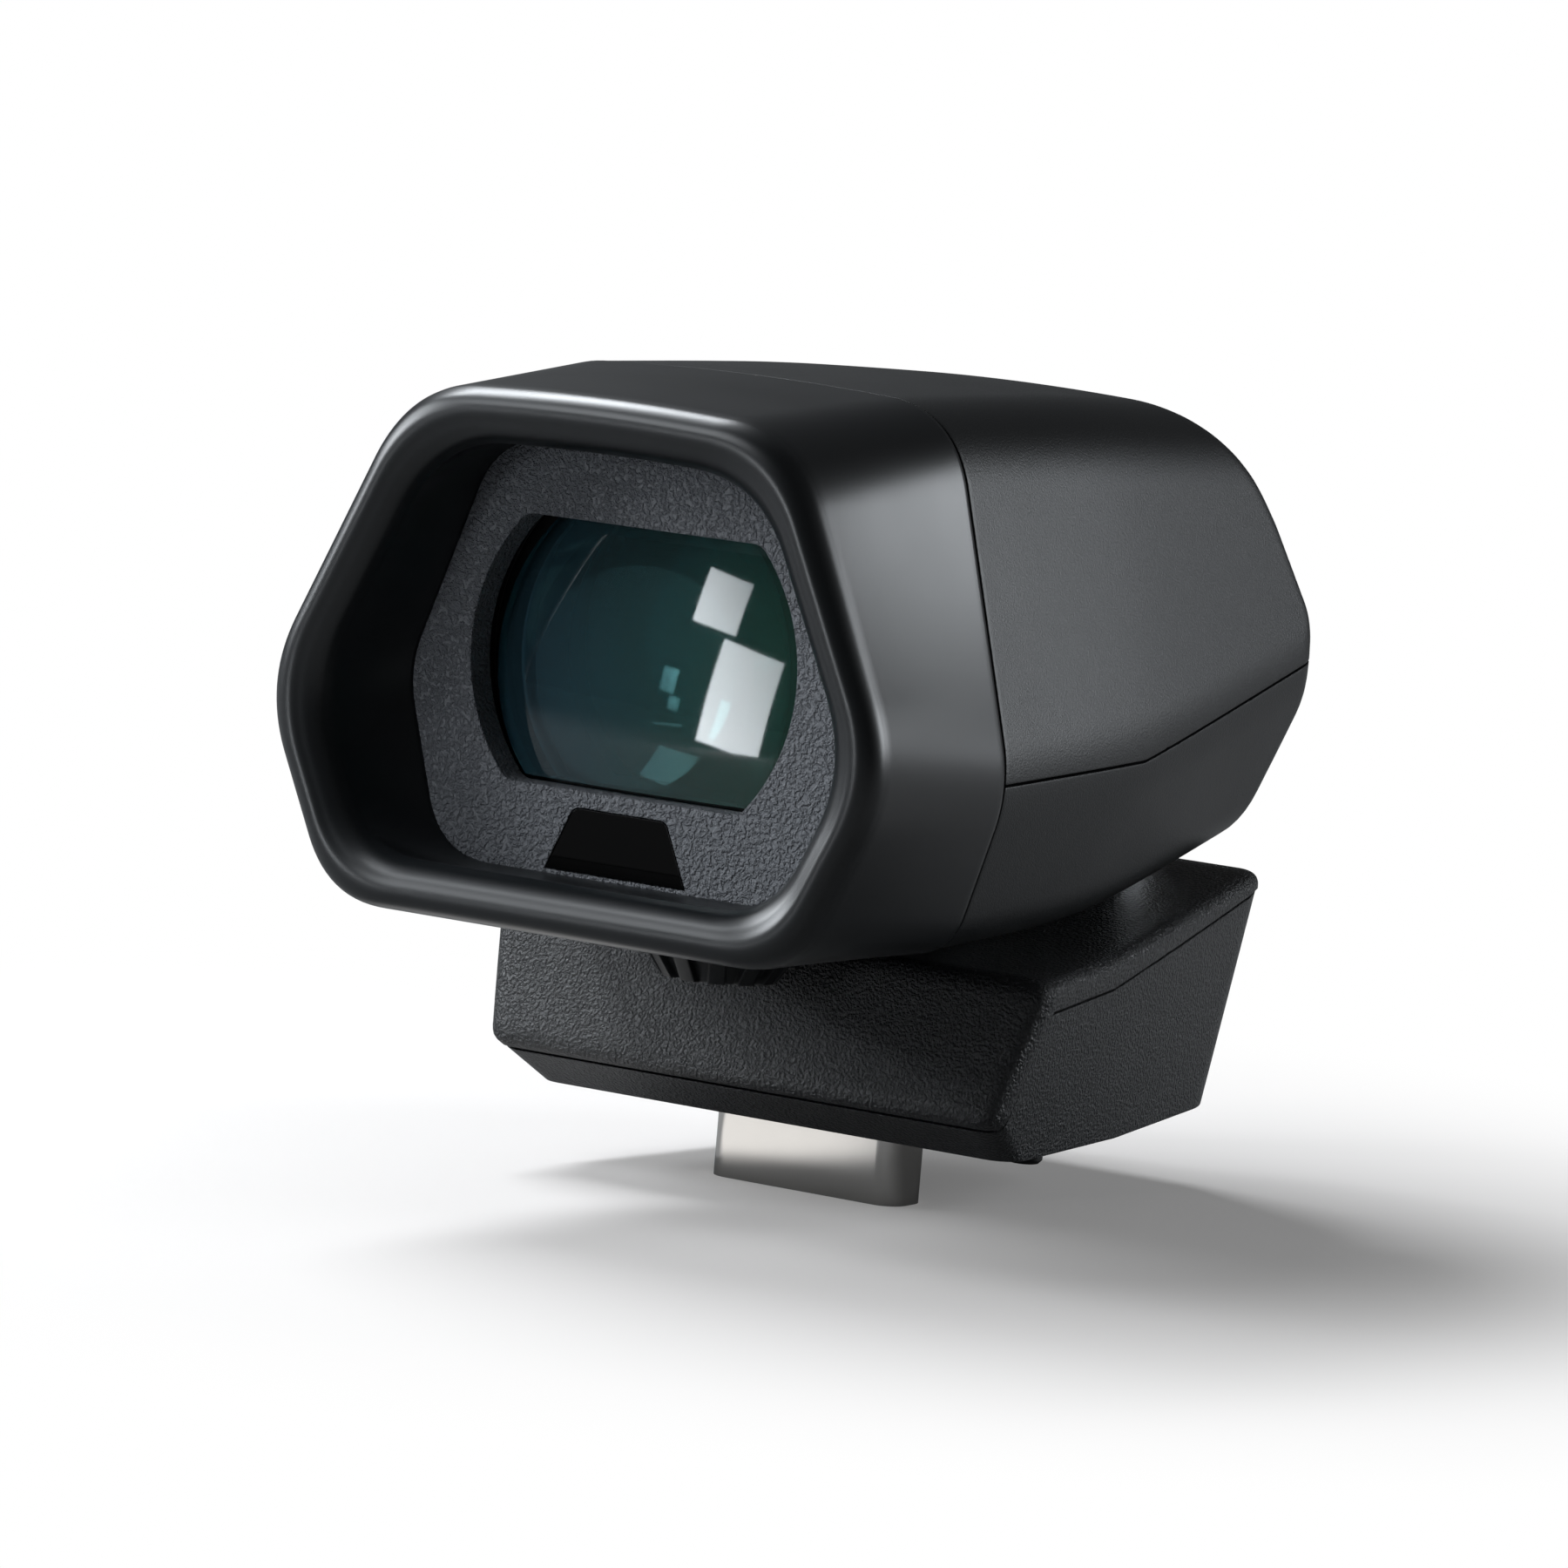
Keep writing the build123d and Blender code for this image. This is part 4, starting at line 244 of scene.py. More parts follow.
def make_piece(name: str, points: Array, faces: Sequence[Sequence[int]]) -> bpy.types.Object:
    """Object from points in millimetres.

    Args:
        name: Name of the object.
        points: One row a point.
        faces: Point numbers of each face.

    Returns:
        The new object, shaded smooth.
    """
    mesh = bpy.data.meshes.new(name)
    mesh.from_pydata([tuple(p) for p in np.asarray(points) * MM], [], [tuple(f) for f in faces])
    mesh.validate()
    body = bmesh.new()
    body.from_mesh(mesh)
    bmesh.ops.recalc_face_normals(body, faces=body.faces)
    body.to_mesh(mesh)
    body.free()
    mesh.shade_smooth()
    piece = bpy.data.objects.new(name, mesh)
    bpy.context.scene.collection.objects.link(piece)
    return piece


def loft_faces(rings: int, count: int, closed: bool) -> list[tuple[int, ...]]:
    """Faces between rings of points.

    Args:
        rings: Number of rings.
        count: Points in each ring.
        closed: Whether the last ring joins the first.

    Returns:
        The faces.
    """
    rows = range(rings if closed else rings - 1)
    faces = []
    for row in rows:
        after = (row + 1) % rings
        for column in range(count):
            beside = (column + 1) % count
            faces.append(
                (
                    row * count + column,
                    row * count + beside,
                    after * count + beside,
                    after * count + column,
                )
            )
    return faces


def apply_modifiers(piece: bpy.types.Object) -> None:
    """Turn a piece's modifiers into its mesh."""
    bpy.context.view_layer.update()
    seen = piece.evaluated_get(bpy.context.evaluated_depsgraph_get())
    mesh = bpy.data.meshes.new_from_object(seen)
    piece.modifiers.clear()
    old = piece.data
    piece.data = mesh
    bpy.data.meshes.remove(old)


def keep_side(piece: bpy.types.Object, line: Sequence[tuple[float, float]], gap: float, upper: bool) -> None:
    """Cut a skin along a line drawn in the side view and keep one side.

    Args:
        piece: The skin.
        line: Points (y, z) of the line, with growing y.
        gap: How far above the line the cut is.
        upper: Whether the upper side is kept.
    """
    ys, zs = zip(*line)
    body = bmesh.new()
    body.from_mesh(piece.data)
    for vertex in body.verts:
        vertex.co.z -= (np.interp(vertex.co.y / MM, ys, zs) + gap) * MM
    everything = body.verts[:] + body.edges[:] + body.faces[:]
    bmesh.ops.bisect_plane(
        body,
        geom=everything,
        plane_co=(0, 0, 0),
        plane_no=(0, 0, 1),
        clear_inner=upper,
        clear_outer=not upper,
    )
    for vertex in body.verts:
        vertex.co.z += (np.interp(vertex.co.y / MM, ys, zs) + gap) * MM
    bmesh.ops.remove_doubles(body, verts=body.verts[:], dist=0.06 * MM)
    body.to_mesh(piece.data)
    body.free()


def thicken(piece: bpy.types.Object, wall: float, edge: float) -> None:
    """Give an open skin a wall and round its rim.

    Args:
        piece: The skin.
        wall: Wall thickness, inwards.
        edge: Width of the rounding.
    """
    solid = piece.modifiers.new("wall", "SOLIDIFY")
    solid.thickness = wall * MM
    solid.offset = -1
    solid.use_even_offset = True
    bevel = piece.modifiers.new("rim", "BEVEL")
    bevel.width = edge * MM
    bevel.segments = 3
    bevel.limit_method = "ANGLE"
    bevel.angle_limit = radians(50)
    bevel.use_clamp_overlap = True
    apply_modifiers(piece)
    piece.data.shade_smooth()
    piece.data.set_sharp_from_angle(angle=radians(60))


# Finishes


class Grain(Enum):
    """Kinds of surface relief."""

    SMOOTH = "smooth"
    FINE = "fine"
    COARSE = "coarse"
    BRUSHED = "brushed"


@dataclass(frozen=True)
class Finish:
    """One surface finish, as a procedural material."""

    name: str
    color: Color
    roughness: float
    metallic: float = 0.0
    specular: float = 0.3
    coat: float = 0.0
    transmission: float = 0.0
    ior: float = 1.5
    grain: Grain = Grain.SMOOTH
    grain_size: float = 0.3
    relief: float = 0.02
    edge: float = 0.0
    second: Color | None = None
    second_size: float = 12.0

    def material(self) -> bpy.types.Material:
        """Build the material, or give the one already built."""
        known = bpy.data.materials.get(self.name)
        if known is not None:
            return known
        made = bpy.data.materials.new(self.name)
        made.use_nodes = True
        nodes, links = made.node_tree.nodes, made.node_tree.links
        shader = nodes["Principled BSDF"]
        shader.inputs["Metallic"].default_value = self.metallic
        shader.inputs["Specular IOR Level"].default_value = self.specular
        shader.inputs["Coat Weight"].default_value = self.coat
        shader.inputs["Coat Roughness"].default_value = 0.03
        shader.inputs["Transmission Weight"].default_value = self.transmission
        shader.inputs["IOR"].default_value = self.ior
        place = nodes.new("ShaderNodeTexCoord")
        self._tint(nodes, links, place, shader)
        self._relief(nodes, links, place, shader)
        return made

    def _tint(self, nodes, links, place, shader) -> None:
        """Link colour and roughness, both slightly uneven."""
        cloud = nodes.new("ShaderNodeTexNoise")
        cloud.inputs["Scale"].default_value = 1 / (self.second_size * MM)
        cloud.inputs["Detail"].default_value = 4
        links.new(place.outputs["Object"], cloud.inputs["Vector"])
        mix = nodes.new("ShaderNodeMix")
        mix.data_type = "RGBA"
        other = self.second or tuple(0.82 * c for c in self.color)
        mix.inputs[6].default_value = (*self.color, 1)
        mix.inputs[7].default_value = (*other, 1)
        links.new(cloud.outputs["Fac"], mix.inputs[0])
        links.new(mix.outputs[2], shader.inputs["Base Color"])
        spread = nodes.new("ShaderNodeMapRange")
        spread.inputs["To Min"].default_value = max(self.roughness - 0.04, 0.01)
        spread.inputs["To Max"].default_value = min(self.roughness + 0.04, 1)
        links.new(cloud.outputs["Fac"], spread.inputs["Value"])
        links.new(spread.outputs["Result"], shader.inputs["Roughness"])

    def _relief(self, nodes, links, place, shader) -> None:
        """Link the grain's bump and the rounding of sharp edges."""
        normal = None
        if self.edge:
            bevel = nodes.new("ShaderNodeBevel")
            bevel.samples = 4
            bevel.inputs["Radius"].default_value = self.edge * MM
            normal = bevel.outputs["Normal"]
        if self.grain is not Grain.SMOOTH:
            height = self._height(nodes, links, place)
            bump = nodes.new("ShaderNodeBump")
            bump.inputs["Strength"].default_value = 1
            bump.inputs["Distance"].default_value = self.relief * MM
            links.new(height, bump.inputs["Height"])
            if normal is not None:
                links.new(normal, bump.inputs["Normal"])
            normal = bump.outputs["Normal"]
        if normal is not None:
            links.new(normal, shader.inputs["Normal"])

    def _height(self, nodes, links, place) -> bpy.types.NodeSocket:
        """Height of the grain."""
        source = place.outputs["Object"]
        if self.grain is Grain.BRUSHED:
            stretch = nodes.new("ShaderNodeMapping")
            stretch.inputs["Scale"].default_value = (0.05, 1, 1)
            links.new(source, stretch.inputs["Vector"])
            source = stretch.outputs["Vector"]
        noise = nodes.new("ShaderNodeTexNoise")
        noise.inputs["Scale"].default_value = 1 / (self.grain_size * MM)
        noise.inputs["Detail"].default_value = 2
        noise.inputs["Roughness"].default_value = 0.5
        links.new(source, noise.inputs["Vector"])
        if self.grain is not Grain.COARSE:
            return noise.outputs["Fac"]
        noise.inputs["Detail"].default_value = 3
        noise.inputs["Distortion"].default_value = 0.1
        ramp = nodes.new("ShaderNodeMapRange")
        ramp.interpolation_type = "SMOOTHSTEP"
        ramp.inputs["From Min"].default_value = 0.36
        ramp.inputs["From Max"].default_value = 0.66
        links.new(noise.outputs["Fac"], ramp.inputs["Value"])
        return ramp.outputs["Result"]


FINISHES: dict[str, Finish] = {
    "housing": Finish(
        "housing_fine_matt",
        (0.0075, 0.0085, 0.0095),
        0.40,
        specular=0.33,
        grain=Grain.FINE,
        grain_size=0.17,
        relief=0.028,
        edge=0.15,
    ),
    "bezel": Finish(
        "bezel_coarse_grain",
        (0.150, 0.158, 0.172),
        0.46,
        specular=0.4,
        grain=Grain.COARSE,
        grain_size=0.33,
        relief=0.2,
        edge=0.3,
    ),
    "rubber": Finish(
        "eyecup_satin_rubber",
        (0.0085, 0.0098, 0.0112),
        0.33,
        specular=0.45,
        grain=Grain.FINE,
        grain_size=0.1,
        relief=0.002,
    ),
    "base": Finish(
        "base_coarse_grain",
        (0.0095, 0.0105, 0.0118),
        0.38,
        specular=0.5,
        grain=Grain.COARSE,
        grain_size=0.27,
        relief=0.11,
        edge=0.3,
    ),
    "knob": Finish(
        "knob_satin",
        (0.008, 0.009, 0.010),
        0.45,
        edge=0.25,
        grain=Grain.FINE,
        grain_size=0.1,
        relief=0.004,
    ),
    "gloss_window": Finish("sensor_window_gloss", (0.001, 0.001, 0.001), 0.05, specular=0.12, edge=0.12),
    "glass": Finish(
        "coated_glass", (0.30, 0.52, 0.50), 0.02, coat=0.6, transmission=0.9, ior=1.52, second=(0.28, 0.56, 0.46)
    ),
    "nickel": Finish("plug_bright_nickel", (0.86, 0.83, 0.79), 0.09, metallic=1.0, edge=0.2),
    "steel": Finish(
        "brushed_steel", (0.52, 0.53, 0.54), 0.3, metallic=1.0, grain=Grain.BRUSHED, grain_size=0.08, relief=0.004, edge=0.12
    ),
    "dark_steel": Finish(
        "black_oxide_steel", (0.06, 0.06, 0.065), 0.35, metallic=1.0, grain=Grain.FINE, grain_size=0.1, relief=0.003, edge=0.1
    ),
    "aluminium": Finish(
        "anodised_aluminium", (0.10, 0.10, 0.11), 0.45, metallic=0.7, grain=Grain.FINE, grain_size=0.08, relief=0.004, edge=0.15
    ),
    "brass": Finish("turned_brass", (0.60, 0.44, 0.20), 0.25, metallic=1.0, grain=Grain.BRUSHED, grain_size=0.1, relief=0.003, edge=0.1),
    "circuit": Finish(
        "solder_masked_board", (0.01, 0.09, 0.04), 0.3, coat=0.5, grain=Grain.FINE, grain_size=0.4, relief=0.006
    ),
    "chip": Finish("moulded_chip", (0.018, 0.018, 0.02), 0.5, grain=Grain.FINE, grain_size=0.08, relief=0.005, edge=0.1),
    "lead": Finish("amber_film", (0.40, 0.16, 0.03), 0.25, coat=0.4, grain=Grain.BRUSHED, grain_size=0.5, relief=0.004),
    "display": Finish("display_glass_black", (0.006, 0.010, 0.016), 0.08, coat=0.6, edge=0.1),
    "inner_plastic": Finish(
        "moulded_black", (0.004, 0.004, 0.0045), 0.5, grain=Grain.FINE, grain_size=0.12, relief=0.008, edge=0.15
    ),
}


@dataclass(frozen=True)
class LensGlass:
    """Coated dark lens glass, teal on the left and greener on the right."""

    name: str = "coated_lens_glass"
    left: Color = (0.11, 0.27, 0.36)
    right: Color = (0.13, 0.33, 0.25)

    def material(self) -> bpy.types.Material:
        """Build the material, or give the one already built."""
        known = bpy.data.materials.get(self.name)
        if known is not None:
            return known
        made = bpy.data.materials.new(self.name)
        made.use_nodes = True
        nodes, links = made.node_tree.nodes, made.node_tree.links
        shader = nodes["Principled BSDF"]
        shader.inputs["Transmission Weight"].default_value = 0.9
        shader.inputs["IOR"].default_value = 1.5
        shader.inputs["Roughness"].default_value = 0.03
        shader.inputs["Specular IOR Level"].default_value = 0.5
        place = nodes.new("ShaderNodeTexCoord")
        parts = nodes.new("ShaderNodeSeparateXYZ")
        links.new(place.outputs["Object"], parts.inputs["Vector"])
        cloud = nodes.new("ShaderNodeTexNoise")
        cloud.inputs["Scale"].default_value = 90
        links.new(place.outputs["Object"], cloud.inputs["Vector"])
        wave = nodes.new("ShaderNodeMath")
        wave.operation = "MULTIPLY_ADD"
        wave.inputs[1].default_value = 6 * MM
        links.new(cloud.outputs["Fac"], wave.inputs[0])
        links.new(parts.outputs["X"], wave.inputs[2])
        side = nodes.new("ShaderNodeMapRange")
        side.inputs["From Min"].default_value = -9 * MM
        side.inputs["From Max"].default_value = 15 * MM
        links.new(wave.outputs[0], side.inputs["Value"])
        mix = nodes.new("ShaderNodeMix")
        mix.data_type = "RGBA"
        mix.inputs[6].default_value = (*self.left, 1)
        mix.inputs[7].default_value = (*self.right, 1)
        links.new(side.outputs["Result"], mix.inputs[0])
        links.new(mix.outputs[2], shader.inputs["Base Color"])
        return made


def dress(piece: bpy.types.Object, slot: str, finish: Finish | LensGlass | None = None) -> None:
    """Give a piece the finish of its slot in the record, or another finish when one is given.

    Args:
        piece: The piece.
        slot: Slot in the record.
        finish: Finish to use, when it isn't the slot's own.
    """
    piece.data.materials.clear()
    piece.data.materials.append((finish or FINISHES[slot]).material())


# Sub-assemblies

AXIS_HEIGHT = 38.5
SEAM_SECTION = Section(19.5, 60.3, 27.3, 31.5, 23.2, 17.5)
BEND_SECTION = Section(18.6, 60.2, 26.0, 32.0, 21.3, 17.8)
END_SECTION = Section(15.4, 58.0, 20.0, 39.4, 16.5, 25.2)


@dataclass
class Eyecup:
    """Soft eyecup: outer wall, rounded lip and the funnel down to the eyepiece."""

    seam_y: float = -21.13
    lip_y: float = -43.6
    plate_y: float = -34.5
    lip: Section = Section(17.7, 58.6, 29.5, 33.8, 21.6, 17.2)
    plate: Section = Section(14.2, 54.6, 20.9, 35.5, 16.6, 21.1)
    corners: Corners = Corners(9.5, 12.5, 8.0)
    plate_corners: Corners = Corners(6.0, 9.0, 6.5, 0.6)
    seam_corners: Corners = Corners(8.0, 13.0, 5.0)
    around: int = 288
    lip_profile: tuple[tuple[float, float], ...] = (
        (2.6, 0.0),
        (1.55, 0.12),
        (0.6, 0.55),
        (0.08, 1.25),
        (0.02, 1.95),
        (0.3, 2.6),
        (0.62, 3.2),
        (1.25, 3.85),
        (2.2, 4.3),
    )

    def build(self) -> bpy.types.Object:
        """Build and dress the eyecup.

        Returns:
            The eyecup.
        """
        seam = radial_ring(SEAM_SECTION.values(), self.seam_corners, AXIS_HEIGHT, self.around)
        lip = radial_ring(self.lip.values(), self.corners, AXIS_HEIGHT, self.around)
        plate = radial_ring(self.plate.values(), self.plate_corners, AXIS_HEIGHT, self.around)
        rings = []
        for y, inset in ((self.seam_y, 0.4), (self.seam_y - 0.06, 0.14), (self.seam_y - 0.2, 0.02)):
            rings.append(ring_points(seam - inset, y, AXIS_HEIGHT))
        wall_end = self.lip_y + self.lip_profile[0][0]
        for share in np.linspace(0.03, 1, 34):
            y = self.seam_y + share * (wall_end - self.seam_y)
            part = (y - self.seam_y) / (self.lip_y - self.seam_y)
            rings.append(ring_points(seam + part * (lip - seam), y, AXIS_HEIGHT))
        edge_share = (wall_end - self.seam_y) / (self.lip_y - self.seam_y)
        shrink = (seam - lip) * (1 - edge_share)
        last = None
        for back, inset in smooth_path(self.lip_profile, 5)[1:]:
            near = 1 - min(inset / 1.5, 1)
            last = radial_ring(self.lip.values(), self.corners, AXIS_HEIGHT, self.around, inset)
            last = last + shrink * near * back / self.lip_profile[0][0]
            rings.append(ring_points(last, self.lip_y + back, AXIS_HEIGHT))
        start_y = self.lip_y + self.lip_profile[-1][0]
        for share in np.linspace(0.06, 1, 26):
            y = start_y + share * (self.plate_y - start_y)
            bow = 0.35 * sin(pi * share)
            rings.append(ring_points(last + share * (plate - last) + bow, y, AXIS_HEIGHT))
        for y, out in ((self.plate_y + 0.05, 0.5), (self.plate_y + 0.35, 0.8)):
            rings.append(ring_points(plate + out, y, AXIS_HEIGHT))
        rings.append(ring_points(seam - 2.2, self.plate_y + 3.0, AXIS_HEIGHT))
        rings.append(ring_points(seam - 1.6, self.seam_y, AXIS_HEIGHT))
        points = np.vstack(rings)
        piece = make_piece("eyecup_skin", points, loft_faces(len(rings), self.around, True))
        dress(piece, "rubber")
        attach(piece, "head")
        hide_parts("eyecup")
        return piece


@dataclass
class HeadShell:
    """Upper and lower housings of the head, one smooth form cut along the split."""

    front_y: float = -21.0
    bend_y: float = 4.0
    end_y: float = 46.0
    dome_y: float = 22.0
    corners: Corners = Corners(8.0, 13.0, 5.0)
    rear_ridge: tuple[float, float] = (42.3, 38.6)
    rear_face_top: tuple[float, float] = (35.4, 50.0)
    rear_arc: tuple[float, float] = (25.0, 59.2)
    rear_start: tuple[float, float] = (4.0, 62.5)
    rear_slope: tuple[float, float] = (20.8, -1.0)
    plan_wide: tuple[float, float] = (33.0, -10.0)
    plan_corner: tuple[float, float] = (21.1, 42.3)
    plan_radius: float = 11.0
    ridge_radius: float = 2.4
    edge_radius: float = 3.2
    bend_ease: float = 9.0
    around: int = 288
    pole_lift: float = 24.0
    split: tuple[tuple[float, float], ...] = ((-60.0, 31.5), (-21.0, 31.5), (4.0, 32.0), (46.0, 39.4), (90.0, 39.4))
    split_gap: float = 0.24
    wall: float = 1.3

    def side_line(self) -> list[tuple[float, float]]:
        """Points of the rear's line in the side view, from the top down to the slope."""
        (y0, z0), (y1, z1), (y2, z2) = self.rear_start, self.rear_arc, self.rear_face_top
        middle = np.linalg.solve(
            np.array([[y1 - y0, z1 - z0], [y2 - y0, z2 - z0]]) * 2,
            np.array([y1**2 - y0**2 + z1**2 - z0**2, y2**2 - y0**2 + z2**2 - z0**2]),
        )
        radius = np.hypot(y0 - middle[0], z0 - middle[1])
        first = np.arctan2(z0 - middle[1], y0 - middle[0])
        last = np.arctan2(z2 - middle[1], y2 - middle[0])
        turns = np.linspace(first, last, 14)
        arc = [(middle[0] + radius * cos(t), middle[1] + radius * sin(t)) for t in turns]
        highest = max(range(len(arc)), key=lambda i: arc[i][1])
        return arc[highest:] + [self.rear_ridge]

    def shape(self, points: Array) -> Array:
        """Field of the head's outer form.

        Args:
            points: Rows of X, Y, Z.

        Returns:
            Signed distances.
        """
        x, y, z = points.T
        near, bend, end = (s.values()[:, None] for s in (SEAM_SECTION, BEND_SECTION, END_SECTION))
        first = (bend - near) / (self.bend_y - self.front_y)
        later = (end - bend) / (self.end_y - self.bend_y)
        past = y - self.bend_y
        eased = (past + np.sqrt(past**2 + self.bend_ease**2)) / 2
        sizes = near + first * (y - self.front_y) + (later - first) * eased
        hexagon = self.corners.field(x, z, sizes)
        line = self.side_line()
        side = np.full(len(x), -90.0)
        for start, stop in zip(line, line[1:]):
            side = smooth_max(side, beside_line(y, z, stop, start), 0.06)
        slope = beside_line(y, z, self.rear_slope, self.rear_ridge)
        side = smooth_max(side, slope, blend_width(self.ridge_radius, radians(85)))
        flank = beside_line(np.abs(x), y, self.plan_wide, self.plan_corner)
        back = y - self.rear_ridge[0]
        plan = smooth_max(flank, back, blend_width(self.plan_radius, radians(77)))
        shape = smooth_max(hexagon, side, blend_width(self.edge_radius, radians(60)))
        return smooth_max(shape, plan, 0.8)

    def skin(self, name: str) -> bpy.types.Object:
        """One open skin of the whole head.

        Args:
            name: Name of the object.

        Returns:
            The skin, open at the seam.
        """
        angles = np.arange(self.around) * 2 * pi / self.around
        flat = np.stack([np.cos(angles), np.zeros(self.around), np.sin(angles)], 1)
        pole = np.array([0, cos(radians(self.pole_lift)), sin(radians(self.pole_lift))])
        starts, ways = [], []
        for y in np.linspace(self.front_y, self.dome_y, 76):
            starts.append(np.tile([0.0, y, AXIS_HEIGHT], (self.around, 1)))
            ways.append(flat)
        for turn in np.linspace(0, pi / 2, 110)[1:-1]:
            starts.append(np.tile([0.0, self.dome_y, AXIS_HEIGHT], (self.around, 1)))
            way = cos(turn) * flat + sin(turn) * pole
            ways.append(way / np.linalg.norm(way, axis=1)[:, None])
        rings = len(starts)
        starts.append(np.array([[0.0, self.dome_y, AXIS_HEIGHT]]))
        ways.append(pole[None, :])
        points = solve(self.shape, np.vstack(starts), np.vstack(ways))
        faces = loft_faces(rings, self.around, False)
        tip = len(points) - 1
        last = (rings - 1) * self.around
        faces += [(last + i, last + (i + 1) % self.around, tip) for i in range(self.around)]
        return make_piece(name, points, faces)

    def build(self) -> list[bpy.types.Object]:
        """Build and dress both housings.

        Returns:
            The upper and the lower housing.
        """
        made = []
        for name, node, upper in (
            ("upper_housing_skin", "head_upper_housing", True),
            ("lower_housing_skin", "head_lower_housing", False),
        ):
            piece = self.skin(name)
            gap = self.split_gap if upper else 0
            keep_side(piece, self.split, gap, upper)
            thicken(piece, self.wall, 0.16)
            dress(piece, "housing")
            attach(piece, "head")
            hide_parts(node)
            made.append(piece)
        return made


@dataclass
class BaseCover:
    """Cover of the base: grained front face, deck and the band round them."""

    seat_front_half: float = 23.7
    deck_front_half: float = 28.3
    seat_back_half: float = 18.4
    deck_back_half: float = 19.8
    plan_front: float = -16.0
    seat_back_y: float = 34.8
    ridge_back: float = 37.6
    ridge_height: float = 17.8
    seat_front: tuple[float, float] = (-8.3, 0.0)
    chin_low: tuple[float, float] = (-13.9, 3.6)
    chin_high: tuple[float, float] = (-13.9, 4.6)
    tray_top: tuple[float, float] = (-10.6, 15.2)
    deck_bend: tuple[float, float] = (3.0, 15.9)
    deck_back: tuple[float, float] = (33.0, 20.8)
    split: tuple[tuple[float, float], ...] = (
        (-60.0, 2.9),
        (-11.89, 2.9),
        (-8.9, 12.5),
        (3.6, 13.3),
        (33.0, 19.0),
        (90.0, 19.0),
    )
    split_gap: float = 0.25
    front_corner: float = 2.4
    back_corner: float = 8.0
    deck_edge: float = 1.7
    slot_half: float = 10.25
    slot_front: float = 27.2
    wall: float = 1.3

    def shape(self, points: Array) -> Array:
        """Field of the base's outer form.

        Args:
            points: Rows of X, Y, Z.

        Returns:
            Signed distances.
        """
        x, y, z = points.T
        side = np.abs(x)
        share = z / self.ridge_height
        wide = self.seat_front_half + share * (self.deck_front_half - self.seat_front_half)
        narrow = self.seat_back_half + share * (self.deck_back_half - self.seat_back_half)
        back = self.seat_back_y + share * (self.ridge_back - self.seat_back_y)
        half = wide + (y - self.plan_front) / (back - self.plan_front) * (narrow - wide)
        flank = (side - half) * cos(0.17)
        rear = (y - back) * cos(0.15)
        plan = smooth_max(flank, rear, blend_width(self.back_corner, radians(80)))
        front = beside_line(-y, z, (-self.chin_high[0], self.chin_high[1]), (-self.tray_top[0], self.tray_top[1]))
        chin = -y + self.chin_low[0]
        under = beside_line(-y, z, (-self.seat_front[0], self.seat_front[1]), (-self.chin_low[0], self.chin_low[1]))
        front = smooth_max(front, chin, 0.05)
        front = smooth_max(front, under, 0.25)
        plan = smooth_max(plan, front, blend_width(self.front_corner, radians(80)))
        rise = (self.deck_back[1] - self.deck_bend[1]) / (self.deck_back[0] - self.deck_bend[0])
        lead = (self.deck_bend[1] - self.tray_top[1]) / (self.deck_bend[0] - self.tray_top[0])
        past = y - self.deck_bend[0]
        soft = 0.5 * (past + np.sqrt(past**2 + 9.0))
        deck = z - (self.tray_top[1] + lead * (y - self.tray_top[0]) + (rise - lead) * soft)
        reach, drop = self.ridge_back - self.deck_back[0], self.deck_back[1] - self.ridge_height
        past = np.maximum(y - self.deck_back[0], 0) / reach
        above = np.maximum(z - self.ridge_height, 0) / drop
        deck = smooth_max(deck, (np.hypot(past, above) - 1) * drop, 0.3)
        shape = smooth_max(plan, deck, blend_width(self.deck_edge, radians(85)))
        return smooth_max(shape, -z, 0.4)

    def skin(self, name: str) -> bpy.types.Object:
        """Closed skin of the whole base, from rays through a box grid.

        Args:
            name: Name of the object.

        Returns:
            The skin.
        """
        low, high = np.array([-30.0, -18.0, -4.0]), np.array([30.0, 42.0, 26.0])
        inner_low, inner_high = np.array([-15.0, -3.0, 5.0]), np.array([15.0, 26.0, 9.0])
        counts = (120, 116, 56)
        lines = [np.linspace(a, b, n + 1) for a, b, n in zip(low, high, counts)]
        keys: dict[tuple[int, int, int], int] = {}
        places: list[tuple[float, float, float]] = []
        faces: list[tuple[int, ...]] = []

        def number(key: tuple[int, int, int]) -> int:
            """Point number of a grid place, made when first met."""
            if key not in keys:
                keys[key] = len(places)
                places.append(tuple(lines[a][key[a]] for a in range(3)))
            return keys[key]

        for fixed in range(3):
            first, second = [a for a in range(3) if a != fixed]
            for end in (0, counts[fixed]):
                for i in range(counts[first]):
                    for j in range(counts[second]):
                        corner = []
                        for di, dj in ((0, 0), (1, 0), (1, 1), (0, 1)):
                            key = [0, 0, 0]
                            key[fixed], key[first], key[second] = end, i + di, j + dj
                            corner.append(number(tuple(key)))
                        faces.append(tuple(corner))
        outer = np.array(places)
        starts = np.clip(outer, inner_low, inner_high)
        ways = outer - starts
        ways /= np.linalg.norm(ways, axis=1)[:, None]
        return make_piece(name, solve(self.shape, starts, ways), faces)

